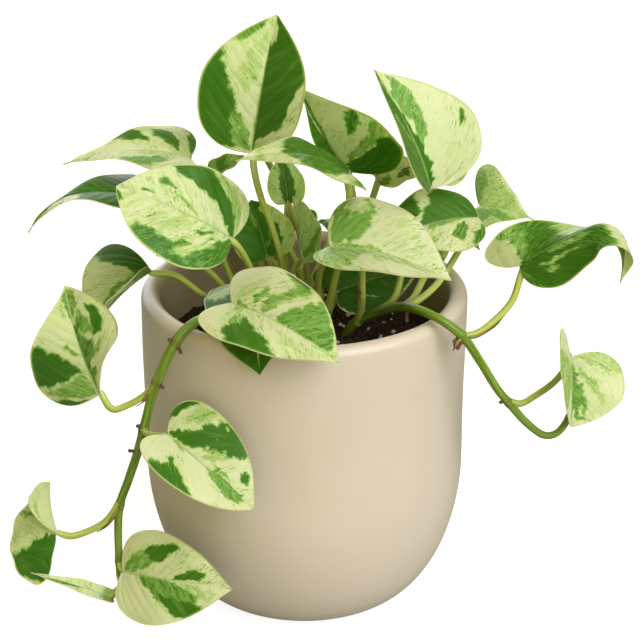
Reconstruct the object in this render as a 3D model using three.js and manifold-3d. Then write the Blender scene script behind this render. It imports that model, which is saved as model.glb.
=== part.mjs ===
// A potted marbled pothos: a satin ceramic planter, the soil in it, and a young plant of six leafy
// stems, two of which climb out over the rim and hang down beside the planter.
// Millimetres, +Z up, origin at the centre of the planter's base. The plant is seen in the photo from
// the -Y side.
import * as THREE from 'three';
import { mergeVertices } from 'three/addons/utils/BufferGeometryUtils.js';
import Module from 'manifold-3d';

const wasm = await Module();
wasm.setup();

// ---------------------------------------------------------------- driving dimensions

const POT = {
  height: 142,
  radius: 70, // outside, at the rim
  bandBottom: 65, // below this height the wall rounds in to the base
  bandRadius: 69,
  baseRadius: 34, // flat foot
  wall: 8,
  floor: 9,
  lip: 4, // radius of the rounded rim
  sides: 44,
};

const SOIL = {
  top: 116,
  gap: 0.3, // between soil and planter wall
  bump: 1.3, // height of the crumbs' relief
  rings: 4,
  hole: 0.4, // clearance round each stem
};

const BLADE = {
  thickness: 0.8,
  rows: 10, // from the junction to the tip
  spans: 2, // from the midrib to the margin
  midribSteps: 120,
};

const STEM = {
  petiole: 1.4, // radius of a leaf stalk
  knot: 1.12, // radius of a node, in stem radii
  stub: [1.1, 0.6], // radius of a root stub, at the stem and at its tip
  vineSides: 8,
  petioleSides: 5,
  step: 12, // spacing of the rings along a stem
  shortBy: 0.8, // a leaf stalk ends this far before the blade's junction
  clearance: 0.45, // left round each blade where a stem meets it
};

const COLOURS = {
  glaze: { color: '#cfc1a9', roughness: 0.45, metalness: 0 },
  soil: { color: '#2b2019', roughness: 0.95, metalness: 0 },
  stem: { color: '#6d8f2e', roughness: 0.5, metalness: 0 },
  marbled: { color: '#b9c98a', roughness: 0.42, metalness: 0 },
  green: { color: '#4d7f2f', roughness: 0.4, metalness: 0 },
};

const GREEN_LEAVES = ['low_left', 'inside', 'dark_fold', 'olive_fold', 'behind_left', 'behind_bridge',
  'rear_left', 'rear_middle', 'rear_low_left', 'rear_low_right'];

// Every blade. base is where its stalk joins it, tip its point, and face the way its upper side looks
// (azimuth and elevation in degrees). Where two values stand in brackets, they are for its left and right
// half, seen with the tip ahead. In degrees: arch is the even bend of the midrib, hook a sharper bend
// between the two parts of its length in hookSpan, fold how far each half is raised (foldTip: at the tip),
// curl the roll of the margins, and twist the turn of the blade from twistFrom to its tip. lobe is how far
// each lobe reaches back past the stalk, taper how early each half narrows, and rows how finely it is cut.
const LEAVES = {
  // crown, as seen from the front
  top: {
    base: [-22, 4, 200.4], tip: [-11, 18, 256.4], face: [-120, 12],
    width: [57, 52], arch: 12, fold: [16, 24], curl: -10, twist: 14, lobe: [0.04, 0], taper: 0.3,
  },
  upright: {
    base: [19, 20, 187], tip: [-1, 2, 229], face: [-110, -15],
    width: [14, 66], arch: 30, fold: [80, 10], curl: -14, lobe: [-0.1, 0.1], taper: [0.6, 0.25],
  },
  tall_right: {
    base: [53, -5, 188], tip: [29, 0, 238], face: [-62, 15],
    width: [48, 66], arch: 45, fold: [60, 4], curl: -16, lobe: [-0.05, 0.12], taper: 0.6,
  },
  bridge: {
    base: [19, -12, 196.2], tip: [-27, -34, 209.8], face: [-90, 78],
    width: [42, 37], arch: 60, fold: [18, 12], curl: -30, taper: [0.6, 1],
  },
  far_left: {
    base: [-48.8, 20, 193], tip: [-102, 10, 193], face: [-95, 80],
    width: 46, arch: 45, fold: [14, 12], curl: -20, lobe: [0.05, 0.15], taper: [1.2, 1.5],
  },
  low_left: {
    base: [-62, 8, 179], tip: [-116, -5, 168], face: [-95, 84],
    width: [34, 50], arch: 20, hook: 60, fold: [12, 8], curl: -20, lobe: [0.1, 0],
    taper: [1.2, 2.8],
  },
  broad_left: {
    base: [-30, -22, 172], tip: [-76, -30, 198], face: [-104, 44],
    width: 48, arch: 40, fold: [22, 10], curl: -26, lobe: [0.02, 0.14], taper: [0.06, 0.4],
  },
  pot_left: {
    base: [-65, -10, 153], tip: [-93, -27, 124], face: [-134, 32],
    width: [54, 58], arch: 50, fold: [58, 6], curl: -16, lobe: [-0.08, 0.12], taper: [0.4, 0.95],
  },
  front: {
    base: [-28.5, -56, 157], tip: [14, -84, 143], face: [-95, 55],
    width: [46, 46], arch: 45, fold: [10, 32], curl: -26, lobe: [0.3, 0.15],
  },
  front_under: {
    base: [-20.5, -32, 152], tip: [-17, -76, 134], face: [-100, 38],
    width: [32, 38], arch: 46, fold: 10, curl: -20, lobe: [0.6, 0.75],
  },
  centre: {
    base: [11, -24, 169], tip: [61, -32, 157], face: [-90, 60],
    width: 48, arch: 50, fold: [28, 40], curl: -20, lobe: [0.1, 0.1], taper: 0.5,
  },
  centre_right: {
    base: [74, 6, 171], tip: [32, -12, 166], face: [-90, 62],
    width: 38, arch: 40, fold: [10, 16], curl: -20, lobe: [0.02, 0.02], taper: 0.35,
  },
  far_right: {
    base: [76, 22, 170], tip: [100, 14, 166], face: [-90, 60],
    width: [30, 36], arch: 50, fold: [24, 20], curl: -14, lobe: [0.3, 0.1], taper: 1.6,
  },
  inside: {
    base: [14, 6, 137], tip: [50, 20, 143], face: [-90, 35],
    width: 28, arch: 30, fold: [10, 10], curl: -20, lobe: [0.3, 0.1],
  },
  dark_fold: {
    base: [-16, 12, 151], tip: [-23, 22, 173], face: [-80, 20],
    width: 30, arch: 20, fold: [30, 30], curl: -10, rows: 8,
  },
  olive_fold: {
    base: [-1, 12, 148], tip: [-5, 18, 176], face: [-30, 20],
    width: 30, arch: 20, fold: [40, 10], curl: -10, rows: 8,
  },
  behind_right: {
    base: [31, 14, 186], tip: [52, 22, 189], face: [-90, 70],
    width: 20, arch: 40, fold: [10, 10], curl: -20, rows: 8,
  },
  behind_left: {
    base: [-41, 34, 182], tip: [-26, 34, 189], face: [-90, 50],
    width: 9, arch: 20, fold: [16, 16], curl: -10, rows: 6,
  },
  behind_bridge: {
    base: [-7, 22, 172], tip: [-10, 34, 189], face: [-80, 10],
    width: 17, arch: 30, fold: [14, 14], curl: -20, rows: 8,
  },
  // back of the crown
  rear_high_left: {
    base: [-22, 26, 204], tip: [-20, 38, 240], face: [84, 20],
    width: 36, arch: 30, fold: [14, 14], curl: -16, rows: 8,
  },
  rear_high_right: {
    base: [55, 20, 184], tip: [66, 34, 212], face: [70, 24],
    width: 28, arch: 30, fold: [14, 14], curl: -16, rows: 8,
  },
  rear_right: {
    base: [44, 36, 152], tip: [78, 42, 142], face: [60, 70],
    width: 34, arch: 50, fold: [14, 14], curl: -20, rows: 8,
  },
  rear_left: {
    base: [-36, 54, 147], tip: [-68, 70, 128], face: [120, 70],
    width: 38, arch: 50, fold: [14, 14], curl: -20, rows: 8,
  },
  rear_middle: {
    base: [24, 64, 146], tip: [22, 102, 120], face: [90, 60],
    width: 36, arch: 50, fold: [12, 12], curl: -20, rows: 8,
  },
  rear_low_right: {
    base: [50, 62, 145], tip: [56, 88, 110], face: [70, 20],
    width: 28, arch: 40, fold: [12, 12], curl: -20, rows: 8,
  },
  rear_low_left: {
    base: [-9, 70, 148], tip: [-22, 98, 106], face: [110, 20],
    width: 40, arch: 40, fold: [12, 12], curl: -20, rows: 8,
  },
  // left trailing stem
  left_1: {
    base: [-84, -52, 115], tip: [-97.5, -45, 160], face: [-128, 10],
    width: [58, 46], arch: 24, fold: [12, 26], curl: -20, twist: 30, lobe: [0.16, -0.25],
    taper: [0.8, 0.05],
  },
  left_2: {
    base: [-55, -72, 106], tip: [-20, -86, 79], face: [-92, 34],
    width: 40, arch: 40, fold: [10, 50], curl: -20, lobe: [0.2, 0.14],
  },
  left_3: {
    base: [-104, -60, 54], tip: [-108, -40, 68], face: [-130, 40],
    width: [44, 28], arch: 45, fold: [0, 110], curl: -10, lobe: [0.8, -0.1],
  },
  left_4: {
    base: [-81.5, -60, 23.7], tip: [-114.4, -66, 38.7], face: [-95, 50],
    width: 7, arch: 20, fold: [20, 20], curl: 0, taper: 0.8,
  },
  left_5: {
    base: [-76, -64, 38], tip: [-29, -84, 41], face: [-92, 24],
    width: 41, arch: 30, fold: [12, 12], curl: -20, lobe: [0.06, 0.08], taper: 0.45,
  },
  // right trailing stem
  right_1: {
    base: [89.6, -32, 164], tip: [129.5, -42, 160], face: [-88, 80],
    width: [29, 36], arch: 20, hook: 120, hookSpan: [0.45, 0.8], fold: [70, -50],
    foldTip: [-150, -24], curl: -10, twist: -90, twistFrom: 0.42, lobe: [0.26, 0.05],
    taper: [1.0, 0.6],
  },
  right_2: {
    base: [111.6, -36, 124.5], tip: [111.5, -46, 97], face: [-84, 20],
    width: [46, 30], arch: 24, fold: [6, 76], curl: -20, lobe: [0.15, 0.42], taper: [0.08, 0.5],
  },
};

// Stems. path runs from its foot in the soil to its growing end; each stalk starts at a point of the
// stem and ends at the blade it carries. Stubs are dry root stubs at the nodes of the trailing stems.
const STEMS = {
  trailing_left: {
    radius: 2.2,
    nodes: [[-52, -55, 139.5], [-60, -56, 122], [-66, -57, 101], [-77, -57, 66], [-78, -58, 40]],
    path: [[-14, 2, 94], [-14, 0, 112], [-17, -8, 126], [-25, -27, 139], [-33, -40, 145.5],
      [-41, -47, 146.5], [-48, -53, 144], [-54, -55.5, 136], [-60, -56, 122], [-63, -56.5, 113],
      [-66, -57, 101], [-69, -58, 90], [-73, -58, 78], [-77, -57, 66], [-78, -58, 54], [-78, -58, 38],
      [-78, -57, 31]],
    stalks: [
      {
        leaf: 'front',
        via: [[-23, -22, 136], [-19, -24, 145], [-20, -28, 152], [-24, -36, 156], [-28, -47, 157]],
      },
      { leaf: 'front_under', via: [[-16, -6, 123], [-18, -12, 134], [-20, -22, 145]] },
      { leaf: 'left_1', via: [[-60, -56, 122], [-65, -55, 116], [-72, -54, 111], [-79, -54, 109]] },
      { leaf: 'left_2', via: [[-66, -57, 101], [-64, -63, 102], [-59, -69, 104]] },
      { leaf: 'left_3', via: [[-77, -57, 67], [-83, -58, 59], [-90, -59, 55], [-98, -60, 53]] },
      { leaf: 'left_4', via: [[-78, -57, 33], [-78, -58, 28]] },
      { leaf: 'left_5', via: [[-78, -58, 40], [-77, -61, 38]] },
    ],
    stubs: [[[-52, -55, 139], [-55, -57, 142]], [[-52, -55, 139], [-49.5, -58, 136]],
      [[-60, -56, 122], [-57, -59, 121]], [[-65, -57, 103], [-69, -58.5, 103.5]],
      [[-69, -58, 91], [-72.5, -59.5, 93]]],
  },
  trailing_right: {
    radius: 2.1,
    nodes: [[43, -26, 143], [65, -46, 138], [86, -41, 106]],
    path: [[16, 5, 94], [17, 5, 112], [21, 1, 123], [32, -9, 134], [42, -24, 142], [48, -37, 146],
      [57, -46, 145], [65.5, -46, 138], [73, -44, 126], [81, -42, 112], [86, -41, 105.5], [93, -41, 97],
      [101, -41.5, 91], [106, -41, 91.5], [110, -40, 96], [112, -39, 101]],
    stalks: [
      { leaf: 'upright', via: [[23, -1, 125], [24.5, -5, 134], [25, -4, 147], [24, 6, 163], [21, 15, 177]] },
      {
        leaf: 'tall_right',
        via: [[33, -10, 135], [38, -11, 140], [42, -6, 152], [48, 12, 164], [52, 18, 177], [53, 10, 188]],
      },
      {
        leaf: 'far_right',
        via: [[42, -24, 142], [46, -19, 144], [51, -8, 149], [62, 10, 159], [70, 18, 166]],
      },
      {
        leaf: 'centre_right',
        via: [[43, -26, 143], [49, -22, 145], [57, -13, 149], [67, 0, 160], [72, 5, 167]],
      },
      {
        leaf: 'right_1',
        via: [[65, -46, 138], [71, -45, 139], [78, -42, 143], [86, -37, 150], [89, -34, 158]],
      },
      {
        leaf: 'right_2',
        via: [[86, -41, 106], [91, -38, 104], [97, -33, 105], [105, -29, 109], [110, -30, 116]],
      },
    ],
    stubs: [[[43, -25, 142], [43, -28, 137]], [[66, -46, 137], [63, -48, 133.5]],
      [[85, -41, 106], [81.5, -42.5, 107]]],
  },
  centre: {
    radius: 2.3,
    path: [[8, 9, 94], [8, 8, 112], [9, 6, 124], [11, 4, 130]],
    stalks: [
      { leaf: 'centre', via: [[9, 5, 126], [7, -3, 133], [6, -12, 147], [8, -20, 160]] },
      { leaf: 'inside', via: [[10, 5, 126], [12, 5, 131]] },
      { leaf: 'behind_right', via: [[9, 6, 125], [7, 14, 136], [16, 22, 152], [28, 18, 172]] },
      { leaf: 'bridge', via: [[10, 5, 129], [13, -1, 144], [17, -4, 165], [19, -9, 184]] },
    ],
  },
  back: {
    radius: 2.3,
    path: [[-8, 16, 94], [-8, 16, 112], [-8, 16, 122], [-8, 16, 130]],
    stalks: [
      { leaf: 'top', via: [[-8, 16, 124], [-10, 8, 151], [-15, 5, 171], [-18, 4, 180], [-21, 4, 193]] },
      { leaf: 'dark_fold', via: [[-8, 16, 125], [-13, 17, 140]] },
      { leaf: 'olive_fold', via: [[-8, 16, 127], [-4, 13, 145]] },
      { leaf: 'behind_bridge', via: [[-8, 16, 128], [-8, 20, 150]] },
      { leaf: 'behind_left', via: [[-8, 17, 126], [-24, 26, 150], [-40, 33, 176]] },
    ],
  },
  left: {
    radius: 2.3,
    path: [[-24, 10, 94], [-24, 10, 112], [-24, 9, 122], [-25, 8, 128]],
    stalks: [
      { leaf: 'far_left', via: [[-24, 9, 123], [-32, 14, 140], [-42, 19, 170], [-47, 20, 186]] },
      { leaf: 'low_left', via: [[-25, 8, 125], [-38, 8, 142], [-45, 7, 150], [-56, 8, 168]] },
      { leaf: 'broad_left', via: [[-24, 8, 126], [-21, -4, 145], [-24, -12, 158], [-28, -19, 168]] },
      { leaf: 'pot_left', via: [[-25, 8, 124], [-33, 2, 131], [-43, -4, 139], [-55, -8, 150]] },
    ],
  },
  rear: {
    radius: 2.3,
    path: [[2, 32, 94], [2, 32, 112], [2, 33, 122], [2, 34, 128]],
    stalks: [
      { leaf: 'rear_high_left', via: [[2, 33, 126], [-2, 40, 150], [-14, 41, 180], [-21, 30, 198]] },
      { leaf: 'rear_high_right', via: [[2, 33, 126], [22, 32, 142], [42, 26, 156], [54, 20, 172]] },
      { leaf: 'rear_right', via: [[2, 33, 124], [16, 40, 134], [30, 47, 144]] },
      { leaf: 'rear_left', via: [[2, 33, 124], [-12, 42, 134], [-26, 50, 144]] },
      { leaf: 'rear_middle', via: [[2, 34, 126], [8, 44, 138], [17, 58, 148]] },
      { leaf: 'rear_low_right', via: [[2, 33, 122], [20, 42, 134], [36, 50, 147]] },
      { leaf: 'rear_low_left', via: [[2, 33, 122], [-4, 48, 134], [-12, 62, 146]] },
    ],
  },
};

// ---------------------------------------------------------------- helpers

const LEAF_DEFAULTS = {
  hook: 0,
  hookSpan: [0.35, 1.05],
  twist: 0,
  twistFrom: 0,
  wave: 0.7, // height of the margin's ripple
  waves: 2.2, // ripples along the blade
  lobe: 0.1,
  taper: 0.35,
  rows: BLADE.rows,
};
for (const [name, leaf] of Object.entries(LEAVES)) {
  const full = { ...LEAF_DEFAULTS, ...leaf };
  // a single value goes for both halves
  for (const key of ['width', 'taper', 'lobe', 'fold']) {
    if (!Array.isArray(full[key])) full[key] = [full[key], full[key]];
  }
  LEAVES[name] = full;
}

const radians = (degrees) => degrees * Math.PI / 180;
const vector = (p) => new THREE.Vector3(...p);
const smooth = (x) => THREE.MathUtils.smoothstep(x, 0, 1);

function fromTriangles(positions, triangles) {
  const geometry = new THREE.BufferGeometry();
  const numbers = positions.flatMap((p) => p.toArray());
  geometry.setAttribute('position', new THREE.Float32BufferAttribute(numbers, 3));
  geometry.setIndex(triangles.flat());
  return geometry;
}

function toSolid(geometry) {
  const bare = geometry.clone();
  bare.deleteAttribute('normal');
  bare.deleteAttribute('uv');
  const merged = mergeVertices(bare, 1e-4);
  const corners = merged.index.array;
  const triangles = [];
  for (let i = 0; i < corners.length; i += 3) {
    const [p, q, r] = corners.slice(i, i + 3);
    if (p !== q && q !== r && p !== r) triangles.push(p, q, r);
  }
  return new wasm.Manifold(new wasm.Mesh({
    numProp: 3,
    vertProperties: new Float32Array(merged.attributes.position.array),
    triVerts: new Uint32Array(triangles),
  }));
}

function toGeometry(solid) {
  const mesh = solid.getMesh();
  const geometry = new THREE.BufferGeometry();
  geometry.setAttribute('position', new THREE.BufferAttribute(new Float32Array(mesh.vertProperties), 3));
  geometry.setIndex(new THREE.BufferAttribute(new Uint32Array(mesh.triVerts), 1));
  return geometry;
}

// The largest connected piece of a solid: what a cut leaves loose beside it is dropped.
function largestPiece(solid) {
  return solid.decompose().reduce((a, b) => (a.volume() >= b.volume() ? a : b));
}

// ---------------------------------------------------------------- leaf blades

// Outline of a heart-shaped blade. s runs from the junction (0) to the tip (1); along is in blade
// lengths, across in half widths. The lobes reach back past the junction, and the tip is drawn out.
function margin(s, lobe, taper) {
  const turn = Math.PI * s;
  const lobes = Math.sin(turn) * Math.cos(turn / 2) ** 6 / 0.443;
  const along = (1 - Math.cos(turn)) / 2 - lobe * lobes;
  const left = Math.max(0, 1 - along);
  const across = (1.02 + 0.4 * taper) * Math.sin(turn) * left ** taper * (1 - 0.3 * Math.exp(-left / 0.06));
  return [along, across];
}

// Points of the midrib in its own plane, from the junction to the tip: distance along the chord,
// height over it and slope, for any part u of its length. Past the junction the bend goes on.
function midrib(leaf) {
  const n = BLADE.midribSteps;
  const [from, to] = leaf.hookSpan;
  const angle = (u) => -radians(leaf.arch) * u - radians(leaf.hook) * smooth((u - from) / (to - from));
  const walk = [[0, 0]];
  for (let i = 0; i < n; i += 1) {
    const a = angle((i + 0.5) / n);
    walk.push([walk[i][0] + Math.cos(a) / n, walk[i][1] + Math.sin(a) / n]);
  }
  const chord = vector(leaf.tip).distanceTo(vector(leaf.base));
  const [endX, endZ] = walk[n];
  const scale = chord / Math.hypot(endX, endZ);
  const tilt = -Math.atan2(endZ, endX);
  return (u) => {
    const slope = angle(u) + tilt;
    let x = u * Math.cos(angle(u / 2));
    let z = u * Math.sin(angle(u / 2));
    if (u > 0) {
      const k = Math.min(n - 1, Math.floor(u * n));
      const f = u * n - k;
      x = walk[k][0] + f * (walk[k + 1][0] - walk[k][0]);
      z = walk[k][1] + f * (walk[k + 1][1] - walk[k][1]);
    }
    return {
      x: scale * (x * Math.cos(tilt) - z * Math.sin(tilt)),
      z: scale * (x * Math.sin(tilt) + z * Math.cos(tilt)),
      slope,
      length: scale,
    };
  };
}

// A point of the blade's middle surface: along in blade lengths, across in half widths (left is +),
// t how far out from midrib to margin.
function bladePoint(leaf, rib, axes, along, across, t) {
  const { x, z, slope } = rib(along);
  const left = across >= 0;
  const side = left ? 0 : 1;
  const foldTip = (leaf.foldTip ?? leaf.fold)[side];
  const fold = radians(THREE.MathUtils.lerp(leaf.fold[side], foldTip, Math.max(0, along)));
  const half = leaf.width[side] / 2;
  const reach = Math.abs(across) * half;
  const bend = radians(leaf.curl || 0.01) / half;
  const out = (Math.sin(fold + bend * reach) - Math.sin(fold)) / bend;
  let up = (Math.cos(fold) - Math.cos(fold + bend * reach)) / bend;
  up += leaf.wave * Math.sin(2 * Math.PI * leaf.waves * along + (left ? 0 : 2)) * t * t;
  const roll = radians(leaf.twist) * smooth((along - leaf.twistFrom) / (1 - leaf.twistFrom));
  const sideways = left ? out : -out;
  const across3 = sideways * Math.cos(roll) - up * Math.sin(roll);
  const up3 = sideways * Math.sin(roll) + up * Math.cos(roll);
  return vector(leaf.base)
    .addScaledVector(axes.along, x - up3 * Math.sin(slope))
    .addScaledVector(axes.left, across3)
    .addScaledVector(axes.up, z + up3 * Math.cos(slope));
}

// The blade as a closed body of even thickness. Both faces are split into triangles alike. grow pushes
// the outline out by the same distance all round.
function bladeGeometry(leaf, thickness = BLADE.thickness, grow = 0) {
  const axes = { along: vector(leaf.tip).sub(vector(leaf.base)).normalize() };
  const [azimuth, elevation] = leaf.face.map(radians);
  axes.up = new THREE.Vector3(Math.cos(azimuth), Math.sin(azimuth), Math.tan(elevation));
  axes.up.addScaledVector(axes.along, -axes.up.dot(axes.along)).normalize();
  axes.left = axes.up.clone().cross(axes.along);
  const rib = midrib(leaf);

  // one row per s: right margin ... midrib ... left margin; the first and last row are single points
  const { spans } = BLADE;
  const { rows } = leaf;
  const middle = [];
  const index = [];
  const length = vector(leaf.tip).distanceTo(vector(leaf.base));
  for (let i = 0; i <= rows; i += 1) {
    const s = i / rows;
    const start = s ** 1.7;
    const row = [];
    for (let j = -spans; j <= spans; j += 1) {
      const side = j > 0 ? 0 : 1;
      const lobe = leaf.lobe[side];
      const taper = leaf.taper[side];
      const half = leaf.width[side] / 2;
      const [along, across] = margin(s, lobe, taper);
      if ((i === 0 || i === rows) && j !== 0) {
        row.push(null);
        continue;
      }
      const t = Math.abs(j) / spans;
      let a = start + t * (along - start);
      let c = Math.sign(j) * t * across;
      if (i === 0) a -= grow / length;
      else if (i === rows) a += grow / length;
      else if (t === 1) {
        const [a0, c0] = margin(Math.max(0, s - 0.01), lobe, taper);
        const [a1, c1] = margin(Math.min(1, s + 0.01), lobe, taper);
        const da = (a1 - a0) * length;
        const dc = (c1 - c0) * half;
        const d = Math.hypot(da, dc);
        a -= grow * (dc / d) / length;
        c += Math.sign(j) * grow * (da / d) / half;
      }
      row.push(middle.length);
      middle.push(bladePoint(leaf, rib, axes, a, c, t));
    }
    const point = row.find((k) => k !== null);
    index.push(row.map((k) => k ?? point));
  }

  const face = [];
  for (let i = 0; i < rows; i += 1) {
    for (let j = 0; j < 2 * spans; j += 1) {
      const [a, b, c, d] = [index[i][j], index[i][j + 1], index[i + 1][j + 1], index[i + 1][j]];
      // split each cell the same way in mirror on the two halves
      const cells = j < spans ? [[a, b, c], [a, c, d]] : [[a, b, d], [b, c, d]];
      for (const [p, q, r] of cells) if (p !== q && q !== r && p !== r) face.push([p, q, r]);
    }
  }
  const normals = middle.map(() => new THREE.Vector3());
  for (const [p, q, r] of face) {
    const n = middle[q].clone().sub(middle[p]).cross(middle[r].clone().sub(middle[p]));
    for (const k of [p, q, r]) normals[k].add(n);
  }
  normals.forEach((n) => n.normalize());
  const sign = Math.sign(normals[index[rows >> 1][spans]].dot(axes.up));
  const half = sign * thickness / 2;
  const top = middle.map((p, k) => p.clone().addScaledVector(normals[k], half));
  const bottom = middle.map((p, k) => p.clone().addScaledVector(normals[k], -half));
  const n = middle.length;
  const out = sign > 0 ? (t) => t : ([p, q, r]) => [p, r, q];
  const triangles = face.map(out).concat(face.map(([p, q, r]) => out([p + n, r + n, q + n])));
  const rim = [];
  for (let i = 0; i < rows; i += 1) rim.push([index[i][2 * spans], index[i + 1][2 * spans]]);
  for (let i = rows; i > 0; i -= 1) rim.push([index[i][0], index[i - 1][0]]);
  for (const [p, q] of rim) triangles.push(out([p, p + n, q + n]), out([p, q + n, q]));
  return fromTriangles(top.concat(bottom), triangles);
}

// ---------------------------------------------------------------- stems

// A round stem along a smooth curve through the points, closed at both ends. radiusAt gives its radius
// for any part u of its length.
function sweep(points, radiusAt, sides) {
  const curve = new THREE.CatmullRomCurve3(points.map(vector), false, 'centripetal');
  const steps = Math.max(2, Math.ceil(curve.getLength() / STEM.step));
  const { normals, binormals } = curve.computeFrenetFrames(steps, false);
  const positions = [];
  const triangles = [];
  for (let i = 0; i <= steps; i += 1) {
    const u = i / steps;
    const centre = curve.getPointAt(u);
    for (let k = 0; k < sides; k += 1) {
      const a = 2 * Math.PI * k / sides;
      positions.push(centre.clone()
        .addScaledVector(normals[i], radiusAt(u) * Math.cos(a))
        .addScaledVector(binormals[i], radiusAt(u) * Math.sin(a)));
      const next = (k + 1) % sides;
      const [p, q] = [i * sides + k, i * sides + next];
      if (i < steps) triangles.push([p, q, q + sides], [p, q + sides, p + sides]);
    }
  }
  const start = positions.push(curve.getPointAt(0)) - 1;
  const end = positions.push(curve.getPointAt(1)) - 1;
  for (let k = 0; k < sides; k += 1) {
    const next = (k + 1) % sides;
    triangles.push([start, next, k], [end, steps * sides + k, steps * sides + next]);
  }
  return toSolid(fromTriangles(positions, triangles));
}

// Leaf stalks are thickened where they leave the stem and a little where they meet the blade.
const stalkRadius = (u) => STEM.petiole * (1 + 0.4 * Math.exp(-u / 0.07) + 0.12 * Math.exp((u - 1) / 0.06));
const stemRadius = (stem, grow = 0) => (u) => grow + stem.radius * (1 - 0.3 * u * u);

function knot(at, radius) {
  const geometry = new THREE.SphereGeometry(radius, 8, 5);
  geometry.translate(...at);
  return toSolid(geometry);
}

// A dry root stub on a trailing stem, from a point inside the stem to its tip.
function rootStub(from, to) {
  const middle = from.map((v, k) => (v + to[k]) / 2);
  return sweep([from, middle, to], (u) => THREE.MathUtils.lerp(...STEM.stub, u), STEM.petioleSides);
}

function stemSolid(stem) {
  let solid = sweep(stem.path, stemRadius(stem), STEM.vineSides);
  for (const stalk of stem.stalks) {
    const last = vector(stalk.via.at(-1));
    const end = vector(LEAVES[stalk.leaf].base);
    end.add(last.sub(end).setLength(STEM.shortBy));
    solid = solid.add(sweep([...stalk.via, end.toArray()], stalkRadius, STEM.petioleSides));
  }
  for (const at of stem.nodes ?? []) solid = solid.add(knot(at, stem.radius * STEM.knot));
  for (const [from, to] of stem.stubs ?? []) solid = solid.add(rootStub(from, to));
  for (const { leaf } of stem.stalks) {
    const { clearance } = STEM;
    const blade = toSolid(bladeGeometry(LEAVES[leaf], BLADE.thickness + 2 * clearance, clearance));
    solid = solid.subtract(blade);
  }
  return largestPiece(solid);
}

// ---------------------------------------------------------------- planter and soil

// Quarter ellipse of the lower body, from the band down to the foot.
function lowerBody(top, foot, start, bottom, steps) {
  const points = [];
  for (let i = 0; i <= steps; i += 1) {
    const a = Math.PI / 2 * i / steps;
    points.push([foot + (top - foot) * Math.cos(a), start - (start - bottom) * Math.sin(a)]);
  }
  return points;
}

function lathe(profile, sides) {
  return new THREE.LatheGeometry(profile.map(([r, z]) => new THREE.Vector2(r, z)), sides)
    .rotateX(Math.PI / 2);
}

// Inside radius of the planter at a height above the band.
const { wall, lip, height, bandBottom, bandRadius } = POT;
const flare = (POT.radius - bandRadius) / (height - lip - bandBottom);
const innerRadius = (z) => bandRadius - wall + flare * (z - bandBottom);

function planterSolid() {
  const outer = lowerBody(bandRadius, POT.baseRadius, bandBottom, 0, 8).reverse();
  const rim = [];
  for (let i = 0; i <= 5; i += 1) {
    const a = Math.PI * i / 5;
    rim.push([POT.radius - lip + lip * Math.cos(a), height - lip + lip * Math.sin(a)]);
  }
  const inner = lowerBody(bandRadius - wall, POT.baseRadius - wall, bandBottom, POT.floor, 4);
  return toSolid(lathe([[0, 0], ...outer, ...rim, ...inner, [0, POT.floor]], POT.sides));
}

// The soil fills the planter up to SOIL.top, a little domed and crumbly, with a plain hole for each stem.
function soilSolid(stems) {
  const { top, gap, bump, rings } = SOIL;
  const under = lowerBody(bandRadius - wall - gap, POT.baseRadius - wall, bandBottom, POT.floor + gap, 4);
  const edge = innerRadius(top) - gap;
  const surface = [];
  for (let i = 0; i < rings; i += 1) surface.push([edge * (1 - i / rings), top]);
  const profile = [[0, POT.floor + gap], ...under.reverse(), ...surface, [0, top]];
  const geometry = lathe(profile, POT.sides);
  const position = geometry.attributes.position;
  for (let i = 0; i < position.count; i += 1) {
    if (position.getZ(i) < top - 0.5) continue;
    const [x, y] = [position.getX(i), position.getY(i)];
    const crumbs = Math.sin(0.31 * x + 1) * Math.cos(0.27 * y) + 0.6 * Math.sin(0.55 * x - 0.47 * y + 2);
    const dome = 1 - (x * x + y * y) / (edge * edge);
    position.setZ(i, top + bump * crumbs + 2 * dome - 1);
  }
  let solid = toSolid(geometry);
  for (const stem of stems) {
    const [[x, y, z], ...above] = stem.path;
    const hole = sweep([[x, y, z - 1], ...above], stemRadius(stem, SOIL.hole), STEM.vineSides);
    solid = solid.subtract(hole);
  }
  return largestPiece(solid);
}

// ---------------------------------------------------------------- the whole plant

const group = new THREE.Group();

function addPiece(name, solid, { color, roughness, metalness }) {
  const material = new THREE.MeshStandardMaterial({ color, roughness, metalness });
  const mesh = new THREE.Mesh(toGeometry(solid), material);
  mesh.name = name;
  group.add(mesh);
}

addPiece('planter', planterSolid(), COLOURS.glaze);
addPiece('soil', soilSolid(Object.values(STEMS)), COLOURS.soil);
for (const [name, stem] of Object.entries(STEMS)) addPiece(`stem_${name}`, stemSolid(stem), COLOURS.stem);
for (const [name, leaf] of Object.entries(LEAVES)) {
  const finish = GREEN_LEAVES.includes(name) ? COLOURS.green : COLOURS.marbled;
  addPiece(`leaf_${name}`, toSolid(bladeGeometry(leaf)), finish);
}

export default group;
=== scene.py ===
# Looks of a potted marbled pothos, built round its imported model. Tables are in millimetres and degrees,
# as in the model's source; everything that is made from them is in metres, +Z up.
import math

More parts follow.
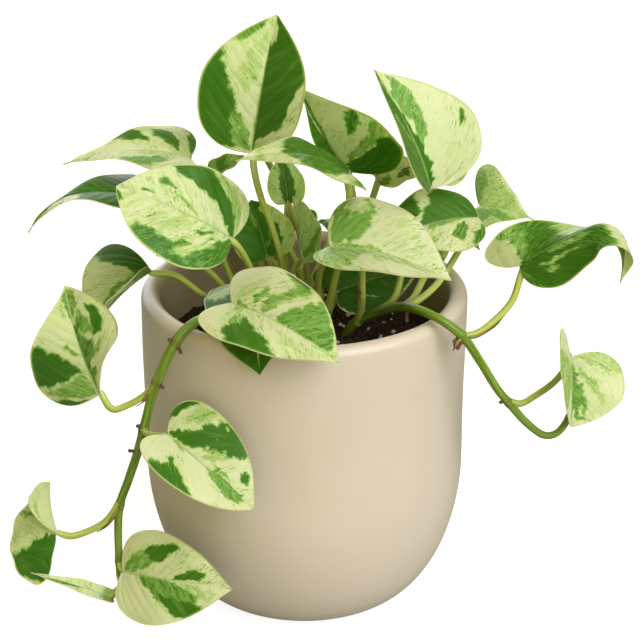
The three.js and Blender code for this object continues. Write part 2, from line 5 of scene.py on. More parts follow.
import bmesh
import bpy
import numpy as np
from bpy.props import FloatProperty, FloatVectorProperty, IntProperty, PointerProperty
from bpy.types import Operator, Panel, PropertyGroup
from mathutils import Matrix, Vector


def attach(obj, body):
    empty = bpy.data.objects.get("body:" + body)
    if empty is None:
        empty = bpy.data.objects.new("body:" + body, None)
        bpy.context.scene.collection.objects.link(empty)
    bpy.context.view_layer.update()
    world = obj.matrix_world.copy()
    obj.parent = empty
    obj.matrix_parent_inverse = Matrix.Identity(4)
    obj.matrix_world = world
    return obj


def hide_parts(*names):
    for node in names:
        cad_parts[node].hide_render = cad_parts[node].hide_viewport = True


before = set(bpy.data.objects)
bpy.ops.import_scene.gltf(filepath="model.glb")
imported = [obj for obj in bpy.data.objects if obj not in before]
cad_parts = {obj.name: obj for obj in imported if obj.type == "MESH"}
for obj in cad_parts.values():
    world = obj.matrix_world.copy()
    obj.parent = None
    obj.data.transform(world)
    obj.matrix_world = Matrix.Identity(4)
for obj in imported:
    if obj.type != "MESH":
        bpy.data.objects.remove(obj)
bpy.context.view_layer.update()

bl_info = {
    "name": "Potted Pothos",
    "version": (1, 0, 0),
    "blender": (4, 5, 0),
    "location": "3D View > Sidebar > Pothos",
    "description": "Builds a marbled pothos in a ceramic planter round its packed model",
    "category": "Object",
}

MM = 0.001

# ---------------------------------------------------------------------------------------------------
# The planter and its soil, as in the model's source

POT = dict(
    height=142, radius=70, band_bottom=65, band_radius=69, base_radius=34, wall=8, floor=9, lip=4,
)
SOIL = dict(top=116, bump=1.3, gap=0.3)

# ---------------------------------------------------------------------------------------------------
# The blades. base is where the stalk joins the blade, tip its point, face the way its upper side looks
# (azimuth, elevation). Values in pairs are for its left and right half, seen with the tip ahead.

LEAVES = {
    "top": dict(
        base=(-22, 4, 200.4), tip=(-11, 18, 256.4), face=(-120, 12), width=(57, 52), arch=12,
        fold=(16, 24), curl=-10, twist=14, lobe=(0.04, 0), taper=0.3,
    ),
    "upright": dict(
        base=(19, 20, 187), tip=(-1, 2, 229), face=(-110, -15), width=(14, 66), arch=30,
        fold=(80, 10), curl=-14, lobe=(-0.1, 0.1), taper=(0.6, 0.25),
    ),
    "tall_right": dict(
        base=(53, -5, 188), tip=(29, 0, 238), face=(-62, 15), width=(48, 66), arch=45,
        fold=(60, 4), curl=-16, lobe=(-0.05, 0.12), taper=0.6,
    ),
    "bridge": dict(
        base=(19, -12, 196.2), tip=(-27, -34, 209.8), face=(-90, 78), width=(42, 37), arch=60,
        fold=(18, 12), curl=-30, taper=(0.6, 1),
    ),
    "far_left": dict(
        base=(-48.8, 20, 193), tip=(-102, 10, 193), face=(-95, 80), width=46, arch=45,
        fold=(14, 12), curl=-20, lobe=(0.05, 0.15), taper=(1.2, 1.5),
    ),
    "low_left": dict(
        base=(-62, 8, 179), tip=(-116, -5, 168), face=(-95, 84), width=(34, 50), arch=20,
        hook=60, fold=(12, 8), curl=-20, lobe=(0.1, 0), taper=(1.2, 2.8),
    ),
    "broad_left": dict(
        base=(-30, -22, 172), tip=(-76, -30, 198), face=(-104, 44), width=48, arch=40,
        fold=(22, 10), curl=-26, lobe=(0.02, 0.14), taper=(0.06, 0.4),
    ),
    "pot_left": dict(
        base=(-65, -10, 153), tip=(-93, -27, 124), face=(-134, 32), width=(54, 58), arch=50,
        fold=(58, 6), curl=-16, lobe=(-0.08, 0.12), taper=(0.4, 0.95),
    ),
    "front": dict(
        base=(-28.5, -56, 157), tip=(14, -84, 143), face=(-95, 55), width=(46, 46), arch=45,
        fold=(10, 32), curl=-26, lobe=(0.3, 0.15),
    ),
    "front_under": dict(
        base=(-20.5, -32, 152), tip=(-17, -76, 134), face=(-100, 38), width=(32, 38), arch=46,
        fold=10, curl=-20, lobe=(0.6, 0.75),
    ),
    "centre": dict(
        base=(11, -24, 169), tip=(61, -32, 157), face=(-90, 60), width=48, arch=50,
        fold=(28, 40), curl=-20, lobe=0.1, taper=0.5,
    ),
    "centre_right": dict(
        base=(74, 6, 171), tip=(32, -12, 166), face=(-90, 62), width=38, arch=40, fold=(10, 16),
        curl=-20, lobe=0.02, taper=0.35,
    ),
    "far_right": dict(
        base=(76, 22, 170), tip=(100, 14, 166), face=(-90, 60), width=(30, 36), arch=50,
        fold=(24, 20), curl=-14, lobe=(0.3, 0.1), taper=1.6,
    ),
    "inside": dict(
        base=(14, 6, 137), tip=(50, 20, 143), face=(-90, 35), width=28, arch=30, fold=10,
        curl=-20, lobe=(0.3, 0.1),
    ),
    "dark_fold": dict(
        base=(-16, 12, 151), tip=(-23, 22, 173), face=(-80, 20), width=30, arch=20,
        fold=30, curl=-10,
    ),
    "olive_fold": dict(
        base=(-1, 12, 148), tip=(-5, 18, 176), face=(-30, 20), width=30, arch=20, fold=(40, 10),
        curl=-10,
    ),
    "behind_right": dict(
        base=(31, 14, 186), tip=(52, 22, 189), face=(-90, 70), width=20, arch=40, fold=10,
        curl=-20,
    ),
    "behind_left": dict(
        base=(-41, 34, 182), tip=(-26, 34, 189), face=(-90, 50), width=9, arch=20, fold=16,
        curl=-10,
    ),
    "behind_bridge": dict(
        base=(-7, 22, 172), tip=(-10, 34, 189), face=(-80, 10), width=17, arch=30, fold=14,
        curl=-20,
    ),
    "rear_high_left": dict(
        base=(-22, 26, 204), tip=(-20, 38, 240), face=(84, 20), width=36, arch=30, fold=14,
        curl=-16,
    ),
    "rear_high_right": dict(
        base=(55, 20, 184), tip=(66, 34, 212), face=(70, 24), width=28, arch=30, fold=14,
        curl=-16,
    ),
    "rear_right": dict(
        base=(44, 36, 152), tip=(78, 42, 142), face=(60, 70), width=34, arch=50, fold=14,
        curl=-20,
    ),
    "rear_left": dict(
        base=(-36, 54, 147), tip=(-68, 70, 128), face=(120, 70), width=38, arch=50,
        fold=14, curl=-20,
    ),
    "rear_middle": dict(
        base=(24, 64, 146), tip=(22, 102, 120), face=(90, 60), width=36, arch=50, fold=12,
        curl=-20,
    ),
    "rear_low_right": dict(
        base=(50, 62, 145), tip=(56, 88, 110), face=(70, 20), width=28, arch=40, fold=12,
        curl=-20,
    ),
    "rear_low_left": dict(
        base=(-9, 70, 148), tip=(-22, 98, 106), face=(110, 20), width=40, arch=40, fold=12,
        curl=-20,
    ),
    "left_1": dict(
        base=(-84, -52, 115), tip=(-97.5, -45, 160), face=(-128, 10), width=(58, 46), arch=24,
        fold=(12, 26), curl=-20, twist=30, lobe=(0.16, -0.25), taper=(0.8, 0.05),
    ),
    "left_2": dict(
        base=(-55, -72, 106), tip=(-20, -86, 79), face=(-92, 34), width=40, arch=40,
        fold=(10, 50), curl=-20, lobe=(0.2, 0.14),
    ),
    "left_3": dict(
        base=(-104, -60, 54), tip=(-108, -40, 68), face=(-130, 40), width=(44, 28), arch=45,
        fold=(0, 110), curl=-10, lobe=(0.8, -0.1),
    ),
    "left_4": dict(
        base=(-81.5, -60, 23.7), tip=(-114.4, -66, 38.7), face=(-95, 50), width=7, arch=20,
        fold=20, curl=0, taper=0.8,
    ),
    "left_5": dict(
        base=(-76, -64, 38), tip=(-29, -84, 41), face=(-92, 24), width=41, arch=30,
        fold=12, curl=-20, lobe=(0.06, 0.08), taper=0.45,
    ),
    "right_1": dict(
        base=(89.6, -32, 164), tip=(129.5, -42, 160), face=(-88, 80), width=(29, 36), arch=20,
        hook=120, hook_span=(0.45, 0.8), fold=(70, -50), fold_tip=(-150, -24), curl=-10, twist=-90,
        twist_from=0.42, lobe=(0.26, 0.05), taper=(1, 0.6),
    ),
    "right_2": dict(
        base=(111.6, -36, 124.5), tip=(111.5, -46, 97), face=(-84, 20), width=(46, 30), arch=24,
        fold=(6, 76), curl=-20, lobe=(0.15, 0.42), taper=(0.08, 0.5),
    ),
}

# Marbling. The first number is the ground's tone, from 0, cream, over pale green (0.3) and mid green
# (0.58) to 1, dark green. Below 0 it is cream that hardly any streak reaches. Each patch that follows
# lies on those before it: its tone, then its outline. An outline's points are a place from the midrib
# (0) to the margin (1 on the left half, -1 on the right half) and a place from the junction (0) to the
# tip (1).
MARBLING = {
    "top": (
        0.12,
        (0.9, (1.1, 0.17), (0.7, 0.13), (0.42, 0.16), (0.36, 0.36), (0.3, 0.44), (0.5, 0.52), (0.74, 0.6),
         (1.1, 0.64)),
        (0.54, (0.46, 0.15), (0.2, 0.1), (0.05, 0.12), (0.08, 0.28), (0.22, 0.43), (0.4, 0.4)),
        (0.62, (1.1, 0.7), (0.86, 0.7), (0.76, 0.78), (0.88, 0.87), (1.1, 0.87)),
        (0.27, (0.55, 0.6), (0.22, 0.56), (0.12, 0.75), (0.15, 0.95), (0.6, 0.93)),
        (1.0, (0.01, 0.1), (0.01, 0.7), (0.07, 0.88), (-0.2, 0.84), (-0.6, 0.83), (-0.8, 0.96),
         (-1.1, 0.96), (-1.1, 0.62), (-0.78, 0.5), (-0.62, 0.36), (-0.38, 0.3), (-0.12, 0.26),
         (-0.05, 0.14)),
        (0.3, (-0.06, 0.05), (-0.12, 0.24), (-0.34, 0.28), (-0.5, 0.2), (-0.3, 0.05)),
    ),
    "upright": (
        0.05,
        (1.0, (0, 0), (-0.05, 0.1), (-0.08, 0.28), (-0.25, 0.38), (-0.5, 0.43), (-0.8, 0.5), (-1.1, 0.5),
         (-1.1, 0)),
        (0.5, (-0.08, 0.28), (-0.2, 0.43), (-0.5, 0.52), (-1.1, 0.62), (-1.1, 0.5), (-0.8, 0.5),
         (-0.5, 0.43), (-0.25, 0.38)),
        (0.8, (-0.42, 0.6), (-0.6, 0.66), (-0.85, 0.71), (-0.97, 0.68), (-0.8, 0.62), (-0.6, 0.59)),
        (0.66, (0, 0.5), (-0.04, 0.62), (-0.12, 0.8), (-0.3, 0.95), (-0.02, 0.95)),
        (0.86, (0, 0), (0, 1), (1.1, 1), (1.1, 0)),
        (0.2, (0.05, 0.66), (0.9, 0.75), (0.9, 0.8), (0.05, 0.73)),
    ),
    "tall_right": (
        -0.08,
        (0.92, (0, 0), (0, 1), (1.1, 1), (1.1, 0)),
        (0.2, (0.1, 0.8), (0.7, 0.85), (0.7, 0.89), (0.1, 0.86)),
        (0.25, (0.1, 0.55), (0.8, 0.6), (0.8, 0.63), (0.1, 0.58)),
        (0.92, (0, 0.03), (0, 0.95), (-0.04, 0.85), (-0.1, 0.6), (-0.11, 0.3), (-0.06, 0.08)),
        (0.56, (-0.12, 0.52), (-0.16, 0.66), (-0.08, 0.86), (-0.3, 0.84), (-0.6, 0.82), (-0.9, 0.85),
         (-0.97, 0.8), (-0.8, 0.74), (-0.6, 0.68), (-0.4, 0.6), (-0.28, 0.53)),
        (0.85, (-0.72, 0.45), (-0.8, 0.49), (-0.88, 0.48), (-0.84, 0.43)),
        (0.15, (-0.3, 0.2), (-0.5, 0.1), (-0.9, 0.15), (-0.92, 0.42), (-0.6, 0.36), (-0.35, 0.48)),
    ),
    "bridge": (
        0.16,
        (0.84, (0, 0.05), (0, 0.77), (-0.25, 0.72), (-0.6, 0.63), (-1.1, 0.5), (-1.1, 0.1), (-0.4, 0.03)),
        (0.78, (0, 0.15), (0, 0.77), (0.4, 0.68), (0.75, 0.62), (1.1, 0.52), (0.9, 0.45), (0.5, 0.33)),
        (0.5, (0.5, 0.05), (0.5, 0.28), (1.1, 0.38), (1.1, 0.05)),
        (0.42, (1.1, 0.7), (0.5, 0.81), (0, 0.86), (-0.5, 0.8), (-1.1, 0.66), (-1.1, 0.7), (-0.5, 0.84),
         (0, 0.9), (0.5, 0.85), (1.1, 0.75)),
    ),
    "far_left": (
        0.16,
        (-0.15, (0.3, 0.6), (-0.3, 0.56), (-0.9, 0.62), (-0.9, 0.7), (0, 0.76), (0.6, 0.7)),
        (0.85, (-0.1, 0.28), (-0.3, 0.38), (-0.6, 0.42), (-0.8, 0.42), (-0.7, 0.33), (-0.4, 0.27),
         (-0.2, 0.25)),
        (0.92, (-0.35, 0.46), (-0.6, 0.54), (-1.1, 0.58), (-1.1, 0.49), (-0.7, 0.47)),
        (0.8, (-0.3, 0.02), (-0.3, 0.12), (-0.6, 0.2), (-1.1, 0.2), (-1.1, 0)),
        (0.66, (0.3, 0.34), (0.5, 0.5), (0.9, 0.58), (1.1, 0.52), (0.7, 0.4)),
        (0.34, (0, 0.3), (0.3, 0.3), (0.4, 0.5), (0.1, 0.62), (0, 0.6)),
        (0.42, (1.1, 0.7), (0.5, 0.77), (0, 0.82), (-0.5, 0.77), (-0.5, 0.79), (0, 0.85), (0.6, 0.8),
         (1.1, 0.74)),
        (0.46, (1.1, 0.84), (0, 0.91), (-1.1, 0.84), (-1.1, 0.9), (0, 0.95), (1.1, 0.9)),
    ),
    "low_left": (
        0.96,
        (0.16, (1.1, 0.55), (0.5, 0.6), (0.36, 0.75), (0.42, 0.92), (1.1, 0.95)),
        (0.45, (1.1, 0.9), (-1.1, 0.92), (-1.1, 1), (1.1, 1)),
    ),
    "broad_left": (
        0.15,
        (1.0, (-0.16, 0.02), (-0.07, 0.1), (-0.1, 0.21), (-0.25, 0.32), (-0.5, 0.46), (-0.75, 0.57),
         (-1.1, 0.64), (-1.1, 0.5), (-0.8, 0.4), (-0.55, 0.3), (-0.34, 0.2), (-0.24, 0.1)),
        (0.42, (-0.26, 0.08), (-0.35, 0.2), (-0.6, 0.31), (-0.9, 0.42), (-0.95, 0.32), (-0.6, 0.2),
         (-0.45, 0.1)),
        (0.26, (-0.5, 0.05), (-0.62, 0.18), (-1.0, 0.26), (-1.0, 0.1)),
        (0.78, (1.1, 0.1), (1.1, 0.71), (0.76, 0.73), (0.64, 0.56), (0.45, 0.43), (0.3, 0.35),
         (0.17, 0.26), (0.08, 0.1), (0.3, 0.03), (0.7, 0.03)),
        (0.12, (0.72, 0.47), (0.5, 0.37), (0.27, 0.27), (0.1, 0.08), (0.06, 0.1), (0.14, 0.25),
         (0.3, 0.35), (0.55, 0.47)),
        (0.36, (0.9, 0.5), (0.6, 0.38), (0.35, 0.26), (0.45, 0.4), (0.75, 0.52)),
        (0.76, (0.3, 0.49), (0.14, 0.42), (0.08, 0.34), (0.2, 0.38)),
        (0.8, (1.1, 0.84), (0.84, 0.86), (0.82, 0.93), (1.1, 0.96)),
        (0.75, (-0.48, 0.62), (-0.6, 0.68), (-0.78, 0.71), (-0.7, 0.65)),
        (0.8, (-0.38, 0.77), (-0.46, 0.83), (-0.56, 0.82), (-0.5, 0.77)),
        (0.5, (-0.03, 0.52), (-0.18, 0.61), (-0.4, 0.67), (-0.3, 0.6), (-0.14, 0.52)),
        (0.3, (0.6, 0.62), (0.2, 0.52), (0.06, 0.6), (0.3, 0.72), (0.65, 0.75)),
    ),
    "pot_left": (
        0.15,
        (1.0, (-0.1, 0.08), (-0.08, 0.28), (-0.3, 0.31), (-0.6, 0.36), (-1.1, 0.38), (-1.1, 0), (-0.4, 0)),
        (0.62, (-0.05, 0.3), (-0.08, 0.5), (-0.25, 0.68), (-0.4, 0.74), (-0.28, 0.58), (-0.15, 0.4)),
        (0.52, (-0.5, 0.62), (-0.85, 0.65), (-0.75, 0.7), (-0.5, 0.68)),
        (0.8, (0, 0), (0, 1), (1.1, 1), (1.1, 0)),
        (0.14, (0.05, 0.3), (0.6, 0.53), (1.0, 0.6), (1.0, 0.66), (0.5, 0.6), (0.05, 0.4)),
        (0.16, (0.05, 0.62), (0.9, 0.76), (0.9, 0.8), (0.05, 0.68)),
    ),
    "front": (
        0.13,
        (-0.2, (0.95, 0.08), (0.45, 0.1), (0.6, 0.34), (0.95, 0.42)),
        (-0.25, (-0.28, 0.03), (-0.3, 0.26), (-0.8, 0.34), (-0.92, 0.1)),
        (0.86, (-0.26, 0.42), (-0.45, 0.5), (-0.75, 0.57), (-1.1, 0.61), (-1.1, 0.42), (-0.75, 0.37),
         (-0.48, 0.36)),
        (0.5, (-0.06, 0.18), (-0.28, 0.33), (-0.6, 0.38), (-0.46, 0.42), (-0.22, 0.38), (-0.08, 0.3)),
        (0.56, (0.12, 0.18), (0.07, 0.3), (0, 0.36), (-0.06, 0.3), (-0.04, 0.16)),
        (0.64, (1.02, 0.6), (0.93, 0.76), (0.8, 0.87), (0.4, 0.88), (0.06, 0.84), (0.01, 0.7), (0.01, 0.6),
         (0.3, 0.57), (0.6, 0.59)),
        (0.5, (1.0, 0.46), (0.7, 0.49), (0.5, 0.45), (0.3, 0.44), (0.05, 0.45), (0.05, 0.5), (0.5, 0.53),
         (0.9, 0.56)),
        (0.85, (1.1, 0.4), (0.9, 0.42), (0.87, 0.52), (1.1, 0.54)),
        (0.6, (0.52, 0.4), (0.3, 0.35), (0.14, 0.38), (0.35, 0.44)),
        (0.3, (0.2, 0.12), (0.12, 0.3), (0.4, 0.35), (0.7, 0.4), (0.5, 0.28)),
        (0.3, (-0.2, 0.6), (-0.6, 0.64), (-0.75, 0.71), (-0.3, 0.69)),
        (0.32, (0.05, 0.88), (0.8, 0.9), (0.6, 0.97), (-0.5, 0.96), (-0.3, 0.88)),
    ),
    "front_under": (
        0.92,
        (0.4, (-0.5, 0.12), (-0.5, 0.42), (-1.1, 0.42), (-1.1, 0.12)),
        (0.4, (0.5, 0.12), (0.5, 0.42), (1.1, 0.42), (1.1, 0.12)),
        (0.3, (1, 0), (1, 0.16), (-1, 0.16), (-1, 0)),
        (0.25, (0.03, 0.1), (0.24, 0.5), (0.3, 0.96), (-0.1, 0.99), (-0.16, 0.6), (-0.03, 0.1)),
    ),
    "centre": (
        0.05,
        (0.58, (0.24, 0.42), (0.5, 0.43), (0.85, 0.41), (1.02, 0.32), (0.95, 0.2), (0.6, 0.14), (0.3, 0.1),
         (0.1, 0.12), (0.12, 0.3)),
        (0.24, (0.6, 0.35), (0.85, 0.39), (0.97, 0.3), (0.85, 0.26)),
        (0.46, (0.14, 0.1), (0.08, 0.4), (0.1, 0.55), (0.01, 0.62), (0.01, 0.1)),
        (0.18, (0.85, 0.5), (0.3, 0.46), (0.12, 0.58), (0.1, 0.88), (0.6, 0.9), (0.85, 0.8)),
        (0.44, (-0.01, 0.05), (-0.01, 0.5), (-0.5, 0.42), (-1.1, 0.36), (-1.1, 0.05)),
        (0.26, (-0.01, 0.5), (-0.01, 0.9), (-0.6, 0.86), (-1.1, 0.6), (-0.5, 0.5)),
        (0.06, (-0.4, 0.55), (-1.1, 0.5), (-1.1, 0.75), (-0.6, 0.72)),
    ),
    "centre_right": (
        0.12,
        (1.0, (0, 0.04), (0, 0.78), (-0.12, 0.74), (-0.36, 0.62), (-0.6, 0.5), (-1.1, 0.34), (-1.1, 0)),
        (1.0, (-0.5, 0.6), (-1.1, 0.48), (-1.1, 0.8), (-0.3, 0.8)),
        (0.52, (0, 0.3), (0.12, 0.5), (0.3, 0.63), (0, 0.7)),
        (0.72, (0.18, 0.34), (0.45, 0.34), (0.72, 0.41), (0.6, 0.48), (0.35, 0.46), (0.18, 0.42)),
        (0.06, (0.1, 0.08), (0.08, 0.3), (0.35, 0.32), (0.5, 0.28), (0.45, 0.08)),
        (0.44, (0.4, 0.52), (0.6, 0.56), (0.9, 0.62), (0.6, 0.64)),
        (0.72, (0.6, 0.1), (0.6, 0.3), (1.1, 0.35), (1.1, 0.1)),
    ),
    "far_right": (
        0.36,
        (0.58, (1.1, 0.02), (0.95, 0.25), (0.5, 0.33), (0.22, 0.2), (0.25, 0.03)),
        (0.6, (-0.1, 0.5), (-0.12, 0.2), (-0.3, 0.1), (-0.6, 0.33), (-0.5, 0.44), (-1.1, 0.54),
         (-1.1, 0.6), (-0.5, 0.56)),
        (0.08, (1.1, 0.82), (0, 0.87), (-1.1, 0.82), (-1.1, 1), (1.1, 1)),
        (0.1, (1.1, 0.4), (0.85, 0.45), (0.8, 0.66), (1.1, 0.7)),
        (0.12, (-0.6, 0.12), (-0.66, 0.36), (-1.1, 0.44), (-1.1, 0.12)),
    ),
    "inside": (
        1.0,
        (0.12, (-0.92, 0.1), (-0.94, 0.5), (-0.92, 0.9), (-1.1, 0.9), (-1.1, 0.1)),
        (0.42, (-0.25, 0.42), (-0.5, 0.46), (-0.7, 0.5), (-0.5, 0.42)),
        (0.6, (0.1, 0.25), (0.5, 0.3), (0.5, 0.34)),
    ),
    "dark_fold": (
        0.96,
        (0.6, (0.1, 0.62), (0.8, 0.76), (0.8, 0.86), (0.1, 0.76)),
        (0.3, (-0.5, 0.1), (-0.62, 0.5), (-0.5, 0.8), (-1.1, 0.8), (-1.1, 0.1)),
        (0.62, (-0.1, 0.3), (-0.4, 0.5), (-0.3, 0.56), (-0.05, 0.36)),
    ),
    "olive_fold": (
        0.34,
        (0.66, (0, 0.2), (-0.6, 0.3), (-0.9, 0.5), (-0.5, 0.46), (0, 0.32)),
        (0.7, (0.2, 0.3), (0.8, 0.4), (1.1, 0.6), (0.5, 0.52), (0.15, 0.4)),
        (0.6, (0.1, 0.6), (0.6, 0.7), (0.5, 0.78), (0.1, 0.68)),
        (0.1, (1.1, 0.84), (-1.1, 0.84), (0, 1.1)),
    ),
    "behind_right": (
        0.2,
        (0.86, (-0.15, 0.74), (-0.35, 0.7), (-0.6, 0.62), (-0.82, 0.55), (-0.7, 0.47), (-0.5, 0.44),
         (-0.36, 0.55), (-0.2, 0.6)),
        (0.62, (-0.05, 0.4), (-0.4, 0.24), (-0.6, 0.15), (-1.0, 0.18), (-0.8, 0.3), (-0.4, 0.38)),
        (0.72, (0.1, 0.12), (0.1, 0.28), (0.9, 0.32), (0.9, 0.14)),
        (0.4, (0.3, 0.54), (0.9, 0.6), (0.9, 0.68)),
    ),
    "behind_left": (
        0.42,
        (0.72, (0.8, 0.4), (-0.8, 0.4), (-0.8, 0.6), (0.8, 0.6)),
        (0.2, (0.8, 0.7), (0, 0.9), (0, 0.7)),
    ),
    "behind_bridge": (
        0.92,
        (0.3, (0.35, 0), (0.3, 0.3), (0.42, 0.66), (1.1, 0.7), (1.1, 0)),
        (0.35, (-0.5, 0), (-0.42, 0.4), (-0.55, 0.8), (-1.1, 0.8), (-1.1, 0)),
        (0.3, (0.1, 0.66), (1, 0.7), (1, 0.8)),
    ),
    "rear_high_left": (
        0.12,
        (0.92, (0.1, 0.2), (0.06, 0.34), (0.5, 0.5), (1.1, 0.56), (1.1, 0.34), (0.5, 0.26)),
        (0.9, (-0.2, 0.45), (-0.3, 0.62), (-1.1, 0.76), (-1.1, 0.5)),
        (0.5, (0.1, 0.72), (0.7, 0.8), (0.6, 0.9)),
        (0.5, (-0.1, 0.15), (-0.6, 0.22), (-0.7, 0.32), (-0.2, 0.28)),
    ),
    "rear_high_right": (
        0.1,
        (0.95, (-0.1, 0.3), (-0.4, 0.5), (-1.1, 0.62), (-1.1, 0.44), (-0.5, 0.34)),
        (0.7, (0, 0.2), (0.1, 0.36), (0.9, 0.44), (1.1, 0.3)),
        (0.55, (0.1, 0.64), (0.8, 0.7), (0.9, 0.82)),
    ),
    "rear_right": (
        0.14,
        (0.92, (0.1, 0.2), (0.2, 0.42), (1.1, 0.6), (1.1, 0.24)),
        (0.56, (0, 0.58), (0.5, 0.62), (0.6, 0.72)),
        (0.6, (0, 0.2), (-0.8, 0.26), (-0.9, 0.38), (-0.1, 0.32)),
        (0.9, (-0.5, 0.5), (-0.5, 0.66), (-1.1, 0.74), (-1.1, 0.5)),
    ),
    "rear_left": (
        0.92,
        (0.14, (-0.1, 0.3), (-0.1, 0.5), (-1.1, 0.74), (-1.1, 0.44)),
        (0.3, (0, 0.7), (0.8, 0.74), (0.8, 0.8)),
        (0.4, (0.1, 0.24), (0.7, 0.32), (0.7, 0.36), (0.1, 0.3)),
    ),
    "rear_middle": (
        0.94,
        (0.2, (0.1, 0.3), (0.9, 0.44), (0.9, 0.52), (0.1, 0.38)),
        (0.3, (0, 0.6), (-0.8, 0.66), (-0.8, 0.72)),
        (0.4, (1, 0.93), (-1, 0.93), (0, 1)),
    ),
    "rear_low_right": (
        0.9,
        (0.12, (0, 0.3), (-0.1, 0.5), (-1.1, 0.64), (-1.1, 0.4)),
        (0.4, (0.2, 0.66), (0.8, 0.7), (0.8, 0.76)),
    ),
    "rear_low_left": (
        0.9,
        (0.1, (0, 0.2), (0.1, 0.4), (1.1, 0.54), (1.1, 0.28)),
        (0.14, (0, 0.6), (0.1, 0.78), (0.7, 0.82), (0.7, 0.64)),
        (0.45, (-0.2, 0.54), (-1, 0.6), (-1, 0.68)),
    ),
    "left_1": (
        0.06,
        (-0.2, (1.05, 0.61), (0.5, 0.62), (0.05, 0.58), (0.05, 0.72), (1.05, 0.75)),
        (-0.25, (-0.5, 0.05), (-0.34, 0.25), (-0.6, 0.4), (-1.1, 0.45), (-1.1, 0.05)),
        (1.0, (1.1, 0.35), (0.8, 0.34), (0.5, 0.36), (0.3, 0.39), (0.13, 0.43), (0.25, 0.5), (0.5, 0.53),
         (0.8, 0.55), (1.1, 0.57)),
        (0.48, (1.0, 0.3), (0.6, 0.23), (0.35, 0.13), (0.1, 0.1), (0.02, 0.3), (0.12, 0.4), (0.3, 0.37),
         (0.6, 0.33)),
        (0.9, (1.1, 0.12), (1.1, 0.26), (0.7, 0.22), (0.5, 0.1)),
        (0.6, (0.42, 0.58), (0.2, 0.54), (0.12, 0.58), (0.35, 0.61)),
        (0.34, (0.9, 0.76), (0.5, 0.74), (0.4, 0.77), (0.9, 0.8)),
        (0.6, (1.0, 0.82), (0.4, 0.81), (0.02, 0.79), (0.02, 0.97), (0.7, 0.97)),
        (0.7, (0, 0.1), (0, 0.78), (-0.12, 0.75), (-0.3, 0.62), (-0.47, 0.56), (-0.4, 0.48), (-0.12, 0.45),
         (-0.12, 0.41), (-0.38, 0.37), (-0.4, 0.3), (-0.14, 0.27), (-0.06, 0.1)),
        (1.0, (-0.53, 0.62), (-0.6, 0.73), (-0.76, 0.78), (-0.86, 0.7), (-0.78, 0.62), (-0.64, 0.58)),
        (0.56, (-0.1, 0.78), (-0.4, 0.82), (-0.55, 0.72), (-0.5, 0.6), (-0.25, 0.68)),
        (0.5, (-0.35, 0.5), (-0.6, 0.57), (-0.75, 0.56), (-0.5, 0.46)),
        (0.5, (0, 0.8), (-0.6, 0.84), (-0.9, 0.92), (-0.3, 0.98)),
    ),
    "left_2": (
        0.08,
        (-0.35, (-0.05, 0.02), (-0.12, 0.28), (-0.6, 0.33), (-1.1, 0.29), (-1.1, 0.02)),
        (-0.25, (-0.05, 0.45), (-0.6, 0.5), (-1.0, 0.55), (-0.9, 0.68), (-0.3, 0.63), (-0.04, 0.6)),
        (1.0, (1.1, 0.48), (0.7, 0.47), (0.4, 0.49), (0.2, 0.53), (0.35, 0.57), (0.6, 0.6), (1.1, 0.64)),
        (0.97, (0.08, 0.1), (0.05, 0.3), (0.09, 0.42), (0.3, 0.5), (0.7, 0.49), (1.1, 0.46), (0.7, 0.41),
         (0.45, 0.38), (0.25, 0.28), (0.2, 0.1)),
        (0.38, (0.42, 0.29), (0.6, 0.37), (1.0, 0.43), (0.95, 0.35), (0.6, 0.27)),
        (0.96, (1.1, 0.1), (0.8, 0.08), (0.62, 0.16), (0.8, 0.27), (1.1, 0.32)),
        (0.36, (0.6, 0.56), (0.3, 0.51), (0.08, 0.54), (0.15, 0.6), (0.45, 0.61)),
        (0.85, (0.92, 0.7), (0.7, 0.68), (0.6, 0.73), (0.85, 0.78)),
        (0.5, (0.35, 0.68), (0.15, 0.61), (0.06, 0.68), (0.3, 0.74)),
        (0.56, (0.3, 0.87), (0.2, 0.78), (0.01, 0.62), (-0.25, 0.66), (-0.6, 0.72), (-0.78, 0.79),
         (-0.55, 0.86), (-0.1, 0.94)),
        (0.84, (-0.43, 0.36), (-0.65, 0.38), (-0.85, 0.31), (-1.1, 0.31), (-1.1, 0.53), (-0.85, 0.53),
         (-0.63, 0.46)),
        (0.46, (-0.01, 0.22), (-0.1, 0.34), (-0.04, 0.42), (0.02, 0.3)),
    ),
    "left_3": (
        0.18,
        (0.98, (1.1, 0.45), (0.8, 0.41), (0.4, 0.38), (0.14, 0.32), (0.01, 0.08), (0.3, -0.1),
         (1.1, -0.1)),
        (0.1, (1.1, 0.06), (0.94, 0.06), (0.93, 0.3), (1.1, 0.38)),
        (0.6, (0.3, 0.56), (0.8, 0.6), (0.9, 0.64), (0.4, 0.61)),
        (0.44, (-0.68, 0.3), (-0.68, 0.5), (-0.8, 0.5), (-0.8, 0.3)),
        (-0.3, (0, 0.02), (0, 1), (-0.66, 1), (-0.6, 0.02)),
    ),
    "left_4": (
        0.12,
        (0.68, (0.05, 0.55), (0.9, 0.6), (0.9, 0.78), (0.1, 0.78)),
        (0.42, (1, 0.05), (-1, 0.05), (-1, 0.3), (1, 0.3)),
    ),
    "left_5": (
        0.06,
        (-0.35, (-0.06, 0.02), (-0.06, 0.3), (-0.3, 0.42), (-0.7, 0.5), (-1.1, 0.58), (-1.1, 0.02)),
        (-0.15, (1.1, 0.05), (0.7, 0.1), (0.72, 0.38), (1.1, 0.48)),
        (0.54, (0.66, 0.4), (0.5, 0.28), (0.26, 0.12), (0.04, 0.12), (0.06, 0.33), (0.2, 0.42),
         (0.4, 0.45)),
        (1.0, (0.87, 0.5), (0.65, 0.41), (0.54, 0.35), (0.38, 0.42), (0.33, 0.48), (0.55, 0.51),
         (0.82, 0.55)),
